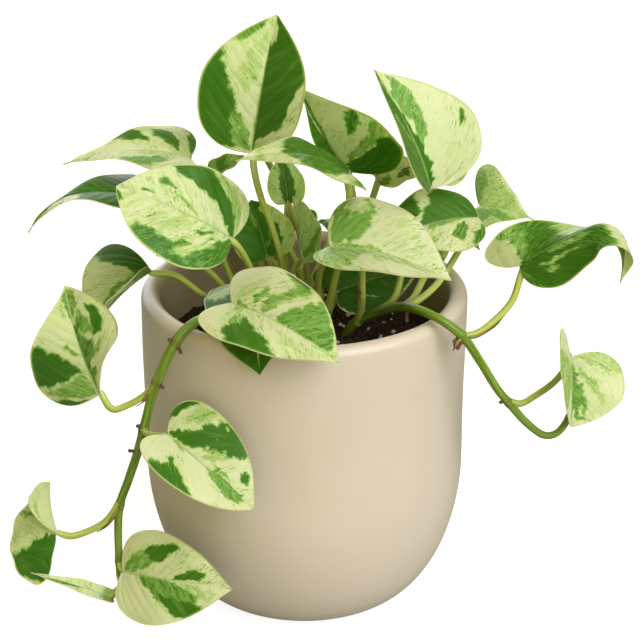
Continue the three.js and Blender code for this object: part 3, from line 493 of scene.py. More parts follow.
        (0.88, (0.74, 0.73), (0.5, 0.77), (0.3, 0.77), (0.08, 0.71), (0.04, 0.63), (0.3, 0.65),
         (0.5, 0.68)),
        (0.66, (0, 0.33), (0, 0.62), (-0.3, 0.7), (-0.6, 0.73), (-0.75, 0.69), (-1.1, 0.69), (-1.1, 0.6),
         (-0.8, 0.56), (-0.4, 0.49), (-0.2, 0.42)),
        (1.0, (-0.35, 0.51), (-0.5, 0.6), (-0.75, 0.66), (-1.1, 0.69), (-1.1, 0.6), (-0.8, 0.55)),
        (0.34, (-0.02, 0.66), (-0.1, 0.8), (-0.8, 0.82), (-0.95, 0.73), (-0.4, 0.71)),
        (0.3, (0.7, 0.8), (0.3, 0.8), (0.05, 0.75), (0.05, 0.8), (0.4, 0.85)),
        (0.17, (0.9, 0.6), (0.5, 0.56), (0.1, 0.5), (0.1, 0.6), (0.6, 0.66)),
    ),
    "right_1": (
        0.78,
        (0.0, (1.1, 0.29), (0.5, 0.29), (0.25, 0.21), (0.08, 0.1), (0.05, 0), (1.1, 0)),
        (0.5, (1.1, 0.29), (0.6, 0.29), (0.3, 0.25), (0.15, 0.16), (0.2, 0.27), (0.6, 0.34), (1.1, 0.34)),
        (0.34, (1.1, 0.4), (0.4, 0.44), (0.1, 0.5), (0.2, 0.58), (1.1, 0.5)),
        (0.95, (-0.06, 0.3), (-0.2, 0.16), (-0.6, 0.16), (-1.1, 0.34), (-1.1, 0.5), (-0.7, 0.56),
         (-0.5, 0.45), (-0.3, 0.5)),
        (0.34, (-0.28, 0.28), (-0.33, 0.4), (-0.4, 0.52), (-0.45, 0.42), (-0.36, 0.29)),
        (0.36, (-0.48, 0.29), (-0.45, 0.36), (-0.64, 0.37), (-0.58, 0.3)),
        (0.5, (-0.06, 0.36), (-0.1, 0.56), (-0.3, 0.62), (-0.24, 0.44)),
        (0.12, (-0.1, 0.68), (-1.1, 0.62), (-1.1, 1), (0, 1)),
        (0.5, (0, 0.6), (0.5, 0.56), (1.1, 0.54), (1.1, 0.62), (0.4, 0.66), (0, 0.7)),
    ),
    "right_2": (
        0.06,
        (-0.3, (1.05, 0.4), (0.72, 0.42), (0.85, 0.62), (1.05, 0.7)),
        (0.33, (1.1, 0.12), (1.1, 0.36), (0.7, 0.39), (0.4, 0.3), (0.1, 0.1)),
        (0.4, (0.55, 0.52), (0.3, 0.43), (0.06, 0.26), (0.16, 0.44), (0.4, 0.56)),
        (0.42, (0.85, 0.66), (0.5, 0.56), (0.2, 0.44), (0.3, 0.55), (0.6, 0.64)),
        (0.64, (0.95, 0.8), (0.7, 0.84), (0.5, 0.76), (0.3, 0.66), (0.12, 0.5), (0.06, 0.7), (0.2, 0.88),
         (0.5, 0.9)),
        (0.2, (0.6, 0.82), (0.4, 0.8), (0.3, 0.72), (0.26, 0.8), (0.4, 0.86)),
        (0.66, (0, 0.2), (0.1, 0.45), (0.14, 0.7), (0.08, 0.94), (0, 0.94)),
        (0.44, (0, 0.3), (-1.1, 0.36), (-1.1, 0.68), (0, 0.62)),
    ),
}

# Leafy stems. path runs from the foot in the soil to the growing end, each stalk from the stem to its
# blade, and stubs are dry roots at the nodes.
STEMS = {
    "trailing_left": dict(
        radius=2.2, dry=True,
        nodes=(
            (-52, -55, 139.5), (-60, -56, 122), (-66, -57, 101), (-77, -57, 66), (-78, -58, 40),
        ),
        path=(
            (-14, 2, 94), (-14, 0, 112), (-17, -8, 126), (-25, -27, 139), (-33, -40, 145.5),
            (-41, -47, 146.5), (-48, -53, 144), (-54, -55.5, 136), (-60, -56, 122), (-63, -56.5, 113),
            (-66, -57, 101), (-69, -58, 90), (-73, -58, 78), (-77, -57, 66), (-78, -58, 54),
            (-78, -58, 38), (-78, -57, 31),
        ),
        stalks={
            "front": (
                (-23, -22, 136), (-19, -24, 145), (-20, -28, 152), (-24, -36, 156), (-28, -47, 157),
            ),
            "front_under": ((-16, -6, 123), (-18, -12, 134), (-20, -22, 145)),
            "left_1": ((-60, -56, 122), (-65, -55, 116), (-72, -54, 111), (-79, -54, 109)),
            "left_2": ((-66, -57, 101), (-64, -63, 102), (-59, -69, 104)),
            "left_3": ((-77, -57, 67), (-83, -58, 59), (-90, -59, 55), (-98, -60, 53)),
            "left_4": ((-78, -57, 33), (-78, -58, 28)),
            "left_5": ((-78, -58, 40), (-77, -61, 38)),
        },
        stubs=(
            ((-52, -55, 139), (-55, -57, 142)), ((-52, -55, 139), (-49.5, -58, 136)),
            ((-60, -56, 122), (-57, -59, 121)), ((-65, -57, 103), (-69, -58.5, 103.5)),
            ((-69, -58, 91), (-72.5, -59.5, 93)),
        ),
    ),
    "trailing_right": dict(
        radius=2.1, dry=True,
        nodes=(
            (43, -26, 143), (65, -46, 138), (86, -41, 106),
        ),
        path=(
            (16, 5, 94), (17, 5, 112), (21, 1, 123), (32, -9, 134), (42, -24, 142), (48, -37, 146),
            (57, -46, 145), (65.5, -46, 138), (73, -44, 126), (81, -42, 112), (86, -41, 105.5),
            (93, -41, 97), (101, -41.5, 91), (106, -41, 91.5), (110, -40, 96), (112, -39, 101),
        ),
        stalks={
            "upright": ((23, -1, 125), (24.5, -5, 134), (25, -4, 147), (24, 6, 163), (21, 15, 177)),
            "tall_right": (
                (33, -10, 135), (38, -11, 140), (42, -6, 152), (48, 12, 164), (52, 18, 177),
                (53, 10, 188),
            ),
            "far_right": ((42, -24, 142), (46, -19, 144), (51, -8, 149), (62, 10, 159), (70, 18, 166)),
            "centre_right": ((43, -26, 143), (49, -22, 145), (57, -13, 149), (67, 0, 160), (72, 5, 167)),
            "right_1": ((65, -46, 138), (71, -45, 139), (78, -42, 143), (86, -37, 150), (89, -34, 158)),
            "right_2": ((86, -41, 106), (91, -38, 104), (97, -33, 105), (105, -29, 109), (110, -30, 116)),
        },
        stubs=(
            ((43, -25, 142), (43, -28, 137)), ((66, -46, 137), (63, -48, 133.5)),
            ((85, -41, 106), (81.5, -42.5, 107)),
        ),
    ),
    "centre": dict(
        radius=2.3,
        path=(
            (8, 9, 94), (8, 8, 112), (9, 6, 124), (11, 4, 130),
        ),
        stalks={
            "centre": ((9, 5, 126), (7, -3, 133), (6, -12, 147), (8, -20, 160)),
            "inside": ((10, 5, 126), (12, 5, 131)),
            "behind_right": ((9, 6, 125), (7, 14, 136), (16, 22, 152), (28, 18, 172)),
            "bridge": ((10, 5, 129), (13, -1, 144), (17, -4, 165), (19, -9, 184)),
        },
    ),
    "back": dict(
        radius=2.3,
        path=(
            (-8, 16, 94), (-8, 16, 112), (-8, 16, 122), (-8, 16, 130),
        ),
        stalks={
            "top": ((-8, 16, 124), (-10, 8, 151), (-15, 5, 171), (-18, 4, 180), (-21, 4, 193)),
            "dark_fold": ((-8, 16, 125), (-13, 17, 140)),
            "olive_fold": ((-8, 16, 127), (-4, 13, 145)),
            "behind_bridge": ((-8, 16, 128), (-8, 20, 150)),
            "behind_left": ((-8, 17, 126), (-24, 26, 150), (-40, 33, 176)),
        },
    ),
    "left": dict(
        radius=2.3,
        path=(
            (-24, 10, 94), (-24, 10, 112), (-24, 9, 122), (-25, 8, 128),
        ),
        stalks={
            "far_left": ((-24, 9, 123), (-32, 14, 140), (-42, 19, 170), (-47, 20, 186)),
            "low_left": ((-25, 8, 125), (-38, 8, 142), (-45, 7, 150), (-56, 8, 168)),
            "broad_left": ((-24, 8, 126), (-21, -4, 145), (-24, -12, 158), (-28, -19, 168)),
            "pot_left": ((-25, 8, 124), (-33, 2, 131), (-43, -4, 139), (-55, -8, 150)),
        },
    ),
    "rear": dict(
        radius=2.3,
        path=(
            (2, 32, 94), (2, 32, 112), (2, 33, 122), (2, 34, 128),
        ),
        stalks={
            "rear_high_left": ((2, 33, 126), (-2, 40, 150), (-14, 41, 180), (-21, 30, 198)),
            "rear_high_right": ((2, 33, 126), (22, 32, 142), (42, 26, 156), (54, 20, 172)),
            "rear_right": ((2, 33, 124), (16, 40, 134), (30, 47, 144)),
            "rear_left": ((2, 33, 124), (-12, 42, 134), (-26, 50, 144)),
            "rear_middle": ((2, 34, 126), (8, 44, 138), (17, 58, 148)),
            "rear_low_right": ((2, 33, 122), (20, 42, 134), (36, 50, 147)),
            "rear_low_left": ((2, 33, 122), (-4, 48, 134), (-12, 62, 146)),
        },
    ),
}

# Dry sheaths at the foot of some stalks: the route that each follows, its radius and how far it wraps.
SHEATHS = (
    ("sheath_right_1", ((66, -46, 139), (71, -45, 139.3), (78, -42, 143), (82, -39.8, 146.5)), 1.75, 1.5),
    ("sheath_right_knee", ((64.5, -46.5, 138), (62, -48, 136), (60, -48.5, 133.5)), 1.1, 2.2),
    ("sheath_upright", ((24.5, -5, 134), (25, -4.5, 141), (25, -4, 147)), 1.75, 1.7),
    ("sheath_left_1", ((-61, -56, 121), (-65, -55, 116), (-70, -54.3, 112.2)), 1.7, 1.5),
    ("sheath_left_3", ((-78, -57.2, 65.8), (-83, -58, 59), (-88, -58.7, 56)), 1.7, 1.5),
)

# ---------------------------------------------------------------------------------------------------
# Settings that a user would change

class PlanterSettings(PropertyGroup):
    glaze: FloatVectorProperty(
        name="Glaze", description="Colour of the satin glaze", subtype="COLOR",
        default=(0.53, 0.462, 0.38), min=0, max=1,
    )
    sides: IntProperty(
        name="Sides", description="Faces round the planter", default=192, min=32, max=512,
    )
    wobble: FloatProperty(
        name="Hand wobble", description="How far the thrown wall strays from round", unit="LENGTH",
        default=0.00018, min=0, max=0.002, precision=5,
    )


class SoilSettings(PropertyGroup):
    colour: FloatVectorProperty(
        name="Soil", description="Colour of the moist potting soil", subtype="COLOR",
        default=(0.022, 0.013, 0.008), min=0, max=1,
    )
    crumbs: FloatProperty(
        name="Crumbs", description="Crumbs to each square metre of soil", default=260000, min=0,
    )
    crumb_size: FloatProperty(
        name="Crumb size", description="Radius of a middling crumb", unit="LENGTH", default=0.0011,
        min=0.0002, max=0.004, precision=5,
    )
    perlite: FloatProperty(
        name="Perlite", description="Grains of perlite to each square metre of soil", default=17000,
        min=0,
    )
    seed: IntProperty(name="Seed", description="Another scatter for another number", default=4)


class StemSettings(PropertyGroup):
    vine: FloatVectorProperty(
        name="Vine", description="Colour of the thick stems", subtype="COLOR",
        default=(0.09, 0.15, 0.008), min=0, max=1,
    )
    stalk: FloatVectorProperty(
        name="Leaf stalks", description="Colour of the leaf stalks", subtype="COLOR",
        default=(0.43, 0.5, 0.1), min=0, max=1,
    )
    sides: IntProperty(name="Sides", description="Faces round a stem", default=20, min=6, max=48)
    ridge: FloatProperty(
        name="Ridges", description="Depth of the ridges that run along a stem", unit="LENGTH",
        default=0.00028, min=0, max=0.002, precision=5,
    )


class BladeSettings(PropertyGroup):
    cream: FloatVectorProperty(
        name="Cream", description="Colour of the creamy parts", subtype="COLOR",
        default=(0.47, 0.495, 0.305), min=0, max=1,
    )
    pale: FloatVectorProperty(
        name="Pale green", description="Colour of the washed parts", subtype="COLOR",
        default=(0.28, 0.355, 0.125), min=0, max=1,
    )
    mid: FloatVectorProperty(
        name="Grey green", description="Colour of the half-green parts", subtype="COLOR",
        default=(0.1, 0.195, 0.035), min=0, max=1,
    )
    dark: FloatVectorProperty(
        name="Deep green", description="Colour of the green parts", subtype="COLOR",
        default=(0.022, 0.078, 0.003), min=0, max=1,
    )
    thickness: FloatProperty(
        name="Thickness", description="Thickness of a blade away from its midrib", unit="LENGTH",
        default=0.00045, min=0.0002, max=0.001, precision=5,
    )
    rows: IntProperty(name="Rows", description="Rows from junction to tip", default=84, min=20, max=200)
    spans: IntProperty(
        name="Spans", description="Faces from midrib to margin", default=24, min=6, max=80,
    )
    quilting: FloatProperty(
        name="Quilting", description="Height of the blade between its side veins", unit="LENGTH",
        default=0.00028, min=0, max=0.001, precision=5,
    )


class StageSettings(PropertyGroup):
    floor: FloatVectorProperty(
        name="Floor", description="Colour of the floor", subtype="COLOR", default=(0.34, 0.34, 0.34),
        min=0, max=1,
    )
    paper: FloatProperty(
        name="Floor's glow", description="Light that the camera sees the floor give off", default=0.86,
    )
    key: FloatProperty(name="Key light", description="Strength of the soft key light", default=3.6)
    top: FloatProperty(name="Top light", description="Strength of the wide light from above", default=0.6)
    fill: FloatProperty(
        name="Fill light", description="Strength of the low light from the front", default=1.4,
    )
    back: FloatProperty(
        name="Back light", description="Strength of the low light from behind", default=2.2,
    )
    softness: FloatProperty(
        name="Softness", description="How wide the key light looks from the plant", subtype="ANGLE",
        default=math.radians(52), min=0, max=math.pi / 2,
    )
    room: FloatProperty(name="Room light", description="Strength of the light all round", default=0.36)


# ---------------------------------------------------------------------------------------------------
# Small helpers

def link_object(name, data):
    piece = bpy.data.objects.new(name, data)
    bpy.context.scene.collection.objects.link(piece)
    return piece


def keep_piece(piece, slot, *nodes):
    """The piece moves with the whole plant, and stands for these nodes of the model."""
    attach(piece, "root")
    if nodes:
        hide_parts(*nodes)


def mesh_piece(name, points, faces, material):
    mesh = bpy.data.meshes.new(name)
    mesh.from_pydata(np.asarray(points).tolist(), [], faces)
    mesh.materials.append(material)
    mesh.shade_smooth()
    mesh.update()
    return link_object(name, mesh)


def point_attribute(mesh, name, values):
    attribute = mesh.attributes.new(name, "FLOAT", "POINT")
    attribute.data.foreach_set("value", np.asarray(values, np.float32))


def outward_faces(piece):
    """Turns the faces of a closed mesh outwards and removes doubled points."""
    mesh = bmesh.new()
    mesh.from_mesh(piece.data)
    bmesh.ops.remove_doubles(mesh, verts=mesh.verts, dist=1e-6)
    bmesh.ops.recalc_face_normals(mesh, faces=mesh.faces)
    mesh.to_mesh(piece.data)
    mesh.free()
    piece.data.shade_smooth()


def applied(piece):
    """The piece's evaluated mesh as a plain mesh, with its modifiers gone."""
    depsgraph = bpy.context.evaluated_depsgraph_get()
    mesh = bpy.data.meshes.new_from_object(
        piece.evaluated_get(depsgraph), preserve_all_data_layers=True, depsgraph=depsgraph,
    )
    name = piece.name
    old = piece.data
    bpy.data.objects.remove(piece)
    if isinstance(old, bpy.types.Mesh):
        bpy.data.meshes.remove(old)
    else:
        bpy.data.curves.remove(old)
    mesh.name = name
    return link_object(name, mesh)


def smooth(x):
    """0 below 0, 1 above 1, smooth between."""
    x = np.clip(x, 0, 1)
    return x * x * (3 - 2 * x)


def unit(vectors):
    return vectors / np.linalg.norm(vectors, axis=1)[:, None]


SPAN_STEPS = 40  # steps between two points of a route, before they are spaced evenly


def catmull_rom(points, spacing):
    """Points along the smooth curve through a route, about the same distance apart."""
    points = np.asarray(points, float)
    points = np.vstack([2 * points[0] - points[1], points, 2 * points[-1] - points[-2]])
    dense = []
    for p0, p1, p2, p3 in zip(points, points[1:], points[2:], points[3:]):
        d0, d1, d2 = (max(np.linalg.norm(b - a), 1e-6) ** 0.5 for a, b in ((p0, p1), (p1, p2), (p2, p3)))
        leave = ((p1 - p0) / d0 - (p2 - p0) / (d0 + d1) + (p2 - p1) / d1) * d1
        arrive = ((p2 - p1) / d1 - (p3 - p1) / (d1 + d2) + (p3 - p2) / d2) * d1
        u = np.linspace(0, 1, SPAN_STEPS, endpoint=False)[:, None]
        dense.append(
            p1 + leave * u + (3 * (p2 - p1) - 2 * leave - arrive) * u ** 2
            + (2 * (p1 - p2) + leave + arrive) * u ** 3
        )
    dense = np.vstack([*dense, points[-2]])
    walked = np.concatenate([[0], np.cumsum(np.linalg.norm(np.diff(dense, axis=0), axis=1))])
    count = max(4, int(round(walked[-1] / spacing)) + 1)
    at = np.linspace(0, walked[-1], count)
    return np.column_stack([np.interp(at, walked, dense[:, k]) for k in range(3)])


# ---------------------------------------------------------------------------------------------------
# Node trees

SOCKETS = {
    "value": "NodeSocketFloat", "count": "NodeSocketInt", "vector": "NodeSocketVector",
    "material": "NodeSocketMaterial", "geometry": "NodeSocketGeometry",
}


def node_group(name, kind, inputs, outputs):
    """A node group with named sockets: its tree, what comes in and what goes out."""
    tree = bpy.data.node_groups.new(name, kind)
    for socket, sort, default in inputs:
        made = tree.interface.new_socket(socket, in_out="INPUT", socket_type=SOCKETS[sort])
        if default is not None:
            made.default_value = default
    for socket, sort in outputs:
        tree.interface.new_socket(socket, in_out="OUTPUT", socket_type=SOCKETS[sort])
    given = tree.nodes.new("NodeGroupInput")
    out = tree.nodes.new("NodeGroupOutput")
    return tree, given.outputs, out.inputs


def add_node(tree, kind, inputs=(), **settings):
    """A node with its settings and the values of its inputs, by name or number."""
    node = tree.nodes.new(kind)
    for key, value in settings.items():
        setattr(node, key, value)
    for key, value in dict(inputs).items():
        if isinstance(value, bpy.types.NodeSocket):
            tree.links.new(value, node.inputs[key])
        else:
            node.inputs[key].default_value = value
    return node


def math_node(tree, operation, *values):
    return add_node(tree, "ShaderNodeMath", enumerate(values), operation=operation).outputs[0]


def product(tree, a, b):
    return math_node(tree, "MULTIPLY", a, b)


def vector_node(tree, operation, *values):
    return add_node(tree, "ShaderNodeVectorMath", enumerate(values), operation=operation).outputs


def scaled_vector(tree, vector, scale):
    node = add_node(tree, "ShaderNodeVectorMath", {0: vector, "Scale": scale}, operation="SCALE")
    return node.outputs[0]


def mix_colour(tree, factor, a, b):
    return add_node(tree, "ShaderNodeMix", {0: factor, 6: a, 7: b}, data_type="RGBA").outputs[2]


def step_between(tree, value, low, high):
    """0 below low, 1 above high, smooth between."""
    node = add_node(
        tree, "ShaderNodeMapRange", {"Value": value, "From Min": low, "From Max": high},
        interpolation_type="SMOOTHSTEP",
    )
    return node.outputs[0]


def noise_at(tree, place, scale, detail=2.0, roughness=0.5):
    node = add_node(tree, "ShaderNodeTexNoise", {
        "Vector": place, "Scale": scale, "Detail": detail, "Roughness": roughness,
    })
    return node.outputs[0]


def tube_place(tree, around, along, width, length):
    """A place for noise on a tube, so that it closes round the tube. around is an angle."""
    return add_node(tree, "ShaderNodeCombineXYZ", {
        0: product(tree, math_node(tree, "COSINE", around), width),
        1: product(tree, math_node(tree, "SINE", around), width),
        2: product(tree, along, length),
    }).outputs[0]


def object_place(tree):
    return add_node(tree, "ShaderNodeTexCoord").outputs["Object"]


def attribute_value(tree, name):
    return add_node(tree, "ShaderNodeAttribute", attribute_name=name).outputs["Fac"]


def new_material(name, **sockets):
    """A material with a Principled shader whose plain values are set on its own sockets."""
    material = bpy.data.materials.new(name)
    material.use_nodes = True
    shader = material.node_tree.nodes["Principled BSDF"]
    for key, value in sockets.items():
        shader.inputs[key.replace("_", " ")].default_value = value
    return material, material.node_tree, shader


def bump(tree, shader, height, strength, distance):
    node = add_node(tree, "ShaderNodeBump", {"Height": height, "Strength": strength, "Distance": distance})
    tree.links.new(node.outputs[0], shader.inputs["Normal"])


def shaded(colour, factor):
    """The colour, opaque, with its channels multiplied by one factor or by three."""
    factors = factor if isinstance(factor, tuple) else (factor,) * 3
    return (*(min(1.0, c * k) for c, k in zip(colour, factors)), 1.0)


def speckle_group():
    """Small scattered specks: a mask that is 1 in a speck."""
    tree, given, out = node_group(
        "Specks", "ShaderNodeTree",
        [
            ("Vector", "vector", None), ("Scale", "value", 400.0), ("Share", "value", 0.1),
            ("Size", "value", 0.2),
        ],
        [("Mask", "value")],
    )
    cells = add_node(tree, "ShaderNodeTexVoronoi", {"Vector": given["Vector"], "Scale": given["Scale"]})
    chance = add_node(tree, "ShaderNodeSeparateColor", {0: cells.outputs["Color"]})
    chosen = math_node(tree, "LESS_THAN", chance.outputs[0], given["Share"])
    size = product(tree, given["Size"], chance.outputs[1])
    near = step_between(tree, cells.outputs["Distance"], size, product(tree, size, 0.6))
    tree.links.new(product(tree, chosen, near), out["Mask"])
    return tree


def use_group(tree, group, inputs):
    return add_node(tree, "ShaderNodeGroup", inputs, node_tree=group).outputs


# ---------------------------------------------------------------------------------------------------
# Materials

THROWN_RINGS = (6.0, 6.0, 240.0)  # how fine the rings of the wheel are across, and up the wall
GLAZE_CLOUDS = (0.93, 0.915, 0.89)  # tint of the darker clouds in the glaze
GLAZE_INSIDE_SHADE = (0.7, 0.66, 0.5)  # painted shade: darker, warmer tint of the glaze on the inner wall, which lies in the pot's shade
PIT_COLOUR = (0.16, 0.12, 0.08, 1)
PERLITE_COLOURS = (0.42, 0.38, 0.32, 1), (0.8, 0.78, 0.72, 1)
STALK_END_COLOUR = (0.5, 0.56, 0.2, 1)
SCAR_COLOURS = (0.035, 0.014, 0.006, 1), (0.2, 0.1, 0.045, 1)
SHEATH_COLOURS = (0.1, 0.045, 0.02, 1), (0.36, 0.22, 0.1, 1)
SHEATH_FOOT_COLOUR = (0.2, 0.26, 0.05, 1)
MIDRIB_COLOUR = (0.27, 0.37, 0.09, 1)
VEIN_COLOUR = (0.44, 0.54, 0.2, 1)
MARGIN_COLOUR = (0.5, 0.53, 0.28, 1)
# Olive tint of a blade's underside: partly its paler back, partly a painted glow of light shining through the
# blade
UNDERSIDE_GLOW_COLOUR = (0.42, 0.48, 0.17, 1)
SAP_REACH = (0.7, 1.0, 0.14)  # how far red, green and blue light go through a blade or a stem


def inner_wall_shade_mask(tree, place):
    """1 on the planter's inner wall below the rounded rim, where the glaze gets painted shade, 0 elsewhere.
    """
    wall = (POT["radius"] - POT["wall"]) * MM
    level = vector_node(tree, "MULTIPLY", place, (1.0, 1.0, 0.0))[0]
    reach = vector_node(tree, "LENGTH", level)["Value"]
    height = add_node(tree, "ShaderNodeSeparateXYZ", {0: place}).outputs["Z"]
    near_wall = step_between(tree, reach, wall + 4 * MM, wall + 0.5 * MM)
    return product(tree, near_wall, step_between(tree, height, 100 * MM, 110 * MM))


def glaze_material(colour, specks):
    """Satin glaze: cloudy, with fine specks, a few pits, the faint rings of the wheel and painted shade on
    the inner wall.
    """
    material, tree, shader = new_material(
        "beige_satin_glaze", Roughness=0.42, Specular_IOR_Level=0.45, Coat_Weight=0.12, Coat_Roughness=0.35,
    )
    place = object_place(tree)
    fine = use_group(tree, specks, {"Vector": place, "Scale": 620.0, "Share": 0.035, "Size": 0.26})["Mask"]
    pits = use_group(tree, specks, {"Vector": place, "Scale": 120.0, "Share": 0.02, "Size": 0.1})["Mask"]
    wide = noise_at(tree, place, 14.0, detail=3.0)
    stretched = add_node(tree, "ShaderNodeMapping", {"Vector": place, "Scale": THROWN_RINGS}).outputs[0]
    rings = noise_at(tree, stretched, 1.0)
    ground = mix_colour(tree, wide, shaded(colour, GLAZE_CLOUDS), shaded(colour, 1.05))
    speckled = mix_colour(tree, product(tree, fine, 0.3), ground, shaded(colour, 0.72))
    pitted = mix_colour(tree, product(tree, pits, 0.75), speckled, PIT_COLOUR)
    # Painted shade: the glaze on the inner wall is tinted darker and warmer, as the real wall looks in the
    # pot's shade.
    inside_shade = mix_colour(tree, inner_wall_shade_mask(tree, place), pitted, shaded(colour, GLAZE_INSIDE_SHADE))
    tree.links.new(inside_shade, shader.inputs["Base Color"])
    tree.links.new(math_node(tree, "MULTIPLY_ADD", wide, 0.14, 0.36), shader.inputs["Roughness"])
    height = math_node(tree, "MULTIPLY_ADD", pits, -1.0, product(tree, rings, 0.35))
    bump(tree, shader, height, strength=0.35, distance=0.0003)
    return material


def soil_material(name, colour, light):
    """Moist, matt and uneven. light is the colour of its paler grains."""
    material, tree, shader = new_material(name, Roughness=0.92, Specular_IOR_Level=0.25)
    noise = noise_at(tree, object_place(tree), 520.0, detail=6.0, roughness=0.7)
    grains = step_between(tree, noise, 0.45, 0.75)
    tree.links.new(mix_colour(tree, grains, colour, light), shader.inputs["Base Color"])
    bump(tree, shader, noise, strength=0.8, distance=0.0008)
    return material


def perlite_material():
    """White, matt and porous."""
    material, tree, shader = new_material("perlite", Roughness=0.85)
    noise = noise_at(tree, object_place(tree), 900.0, detail=3.0)
    tree.links.new(mix_colour(tree, noise, *PERLITE_COLOURS), shader.inputs["Base Color"])
    bump(tree, shader, noise, strength=0.6, distance=0.0003)
    return material


def stem_material(vine, stalk):
    """Green stems: dark on the vines, yellower on the leaf stalks, brown and dry at scars and stubs."""
    material, tree, shader = new_material(
        "green_stem", Roughness=0.45, Subsurface_Weight=0.2, Subsurface_Scale=0.0015,
        Subsurface_Radius=SAP_REACH, Specular_IOR_Level=0.3,
    )
    around = product(tree, attribute_value(tree, "around"), 2 * math.pi)
    place = tube_place(tree, around, attribute_value(tree, "along"), 1.6, 26.0)
    streaks = noise_at(tree, place, 2.4, detail=4.0, roughness=0.6)
    mottle = noise_at(tree, object_place(tree), 1400.0, detail=3.0)
    light_vine = tuple(min(1.0, 1.9 * c + 0.015) for c in vine)
    lift = step_between(tree, streaks, 0.4, 0.64)
    thick = mix_colour(tree, lift, shaded(vine, 1.0), shaded(light_vine, 1.0))
    thin = mix_colour(tree, lift, shaded(stalk, 0.72), shaded(stalk, 1.0))
    green = mix_colour(tree, attribute_value(tree, "stalk"), thick, thin)
    green = mix_colour(tree, attribute_value(tree, "pale"), green, STALK_END_COLOUR)
    brown = attribute_value(tree, "brown")
    dry = step_between(tree, math_node(tree, "ADD", mottle, brown), 0.55, 1.05)
    dry = product(tree, brown, dry)
    earth = mix_colour(tree, mottle, *SCAR_COLOURS)
    tree.links.new(mix_colour(tree, dry, green, earth), shader.inputs["Base Color"])
    tree.links.new(math_node(tree, "MULTIPLY_ADD", dry, 0.4, 0.4), shader.inputs["Roughness"])
    height = math_node(tree, "MULTIPLY_ADD", mottle, 0.25, streaks)
    bump(tree, shader, height, strength=0.35, distance=0.0004)
    return material


def sheath_material():
    """Dry papery sheath at the foot of a leaf stalk, greener towards its foot."""
    material, tree, shader = new_material("dry_sheath", Roughness=0.7, Specular_IOR_Level=0.3)
    fibres = noise_at(tree, object_place(tree), 700.0, detail=4.0)
    dry = mix_colour(tree, fibres, *SHEATH_COLOURS)
    drier = step_between(tree, attribute_value(tree, "along"), 0.05, 0.5)
    tree.links.new(mix_colour(tree, drier, SHEATH_FOOT_COLOUR, dry), shader.inputs["Base Color"])
    bump(tree, shader, fibres, strength=0.5, distance=0.0003)
    return material


# Noise drawn out along the side veins: how fine it is across and along them, its detail and roughness,
# and a shift that keeps each kind apart from the others
STREAKS = 17.0, 4.2, 4.0, 0.6, 0.0
FINE_STREAKS = 62.0, 22.0, 3.0, 0.6, 3.1
WASH = 26.0, 9.0, 5.0, 0.7, 7.9
FLECK_PLACES = 8.0, 4.0, 2.0, 0.5, 5.7
FLECK_DASHES = 80.0, 34.0, 2.0, 0.5, 9.4
SIDE_VEINS = 9.0  # side veins on each half of a blade


def vein_group():
    """From a blade's own map: noise drawn out along the side veins, flecks, and the vein lines."""
    tree, given, out = node_group(
        "Blade veins", "ShaderNodeTree",
        [
            ("Seed", "value", 0.0), ("Flow", "value", 0.0), ("Away", "value", 0.0), ("Out", "value", 0.0),
            ("Veins", "value", SIDE_VEINS),
        ],
        [
            ("Streaks", "value"), ("Fine", "value"), ("Wash", "value"), ("Flecks", "value"),
            ("Vein", "value"),
        ],
    )
    flow, away = given["Flow"], given["Away"]
    half = math_node(tree, "GREATER_THAN", away, 0.0)
    seed = math_node(tree, "MULTIPLY_ADD", given["Seed"], 7.3, product(tree, half, 3.7))

    def drawn(across, along, detail, roughness, shift):
        vector = add_node(tree, "ShaderNodeCombineXYZ", {
            0: product(tree, flow, across), 1: product(tree, away, along),
            2: math_node(tree, "ADD", seed, shift),
        }).outputs[0]
        return add_node(tree, "ShaderNodeTexNoise", {
            "Vector": vector, "Scale": 1.0, "Detail": detail, "Roughness": roughness, "Distortion": 0.7,
        }).outputs[0]

    tree.links.new(drawn(*STREAKS), out["Streaks"])
    tree.links.new(drawn(*FINE_STREAKS), out["Fine"])
    tree.links.new(drawn(*WASH), out["Wash"])
    where = step_between(tree, drawn(*FLECK_PLACES), 0.44, 0.6)
    dashes = step_between(tree, drawn(*FLECK_DASHES), 0.58, 0.63)
    tree.links.new(product(tree, where, dashes), out["Flecks"])
    waves = product(tree, product(tree, flow, given["Veins"]), math.pi)
    line = step_between(tree, math_node(tree, "ABSOLUTE", math_node(tree, "SINE", waves)), 0.14, 0.0)
    tree.links.new(product(tree, line, step_between(tree, given["Out"], 1.0, 0.5)), out["Vein"])
    return tree


# The tones between which one colour of the marbling gives way to the next
TO_PALE = 0.08, 0.36
TO_MID = 0.38, 0.54
TO_DARK = 0.66, 0.8
CALM = 1.15, 0.7  # the tone at which a patch isn't ragged at all, and the one below which it fully is


def ragged_tone(tree, marks):
    """The piece's tone with streaks, fine streaks, a wash and flecks along the veins."""
    tone = attribute_value(tree, "tone")
    fine, wash, streaks = (
        math_node(tree, "SUBTRACT", marks[name], 0.5) for name in ("Fine", "Wash", "Streaks")
    )
    ragged = math_node(tree, "MULTIPLY_ADD", streaks, 0.5, product(tree, fine, 0.85))
    ragged = math_node(tree, "MULTIPLY_ADD", wash, 0.75, ragged)
    ragged = math_node(tree, "MULTIPLY_ADD", ragged, step_between(tree, tone, *CALM), tone)
    return math_node(tree, "MULTIPLY_ADD", marks["Flecks"], 0.52, ragged)


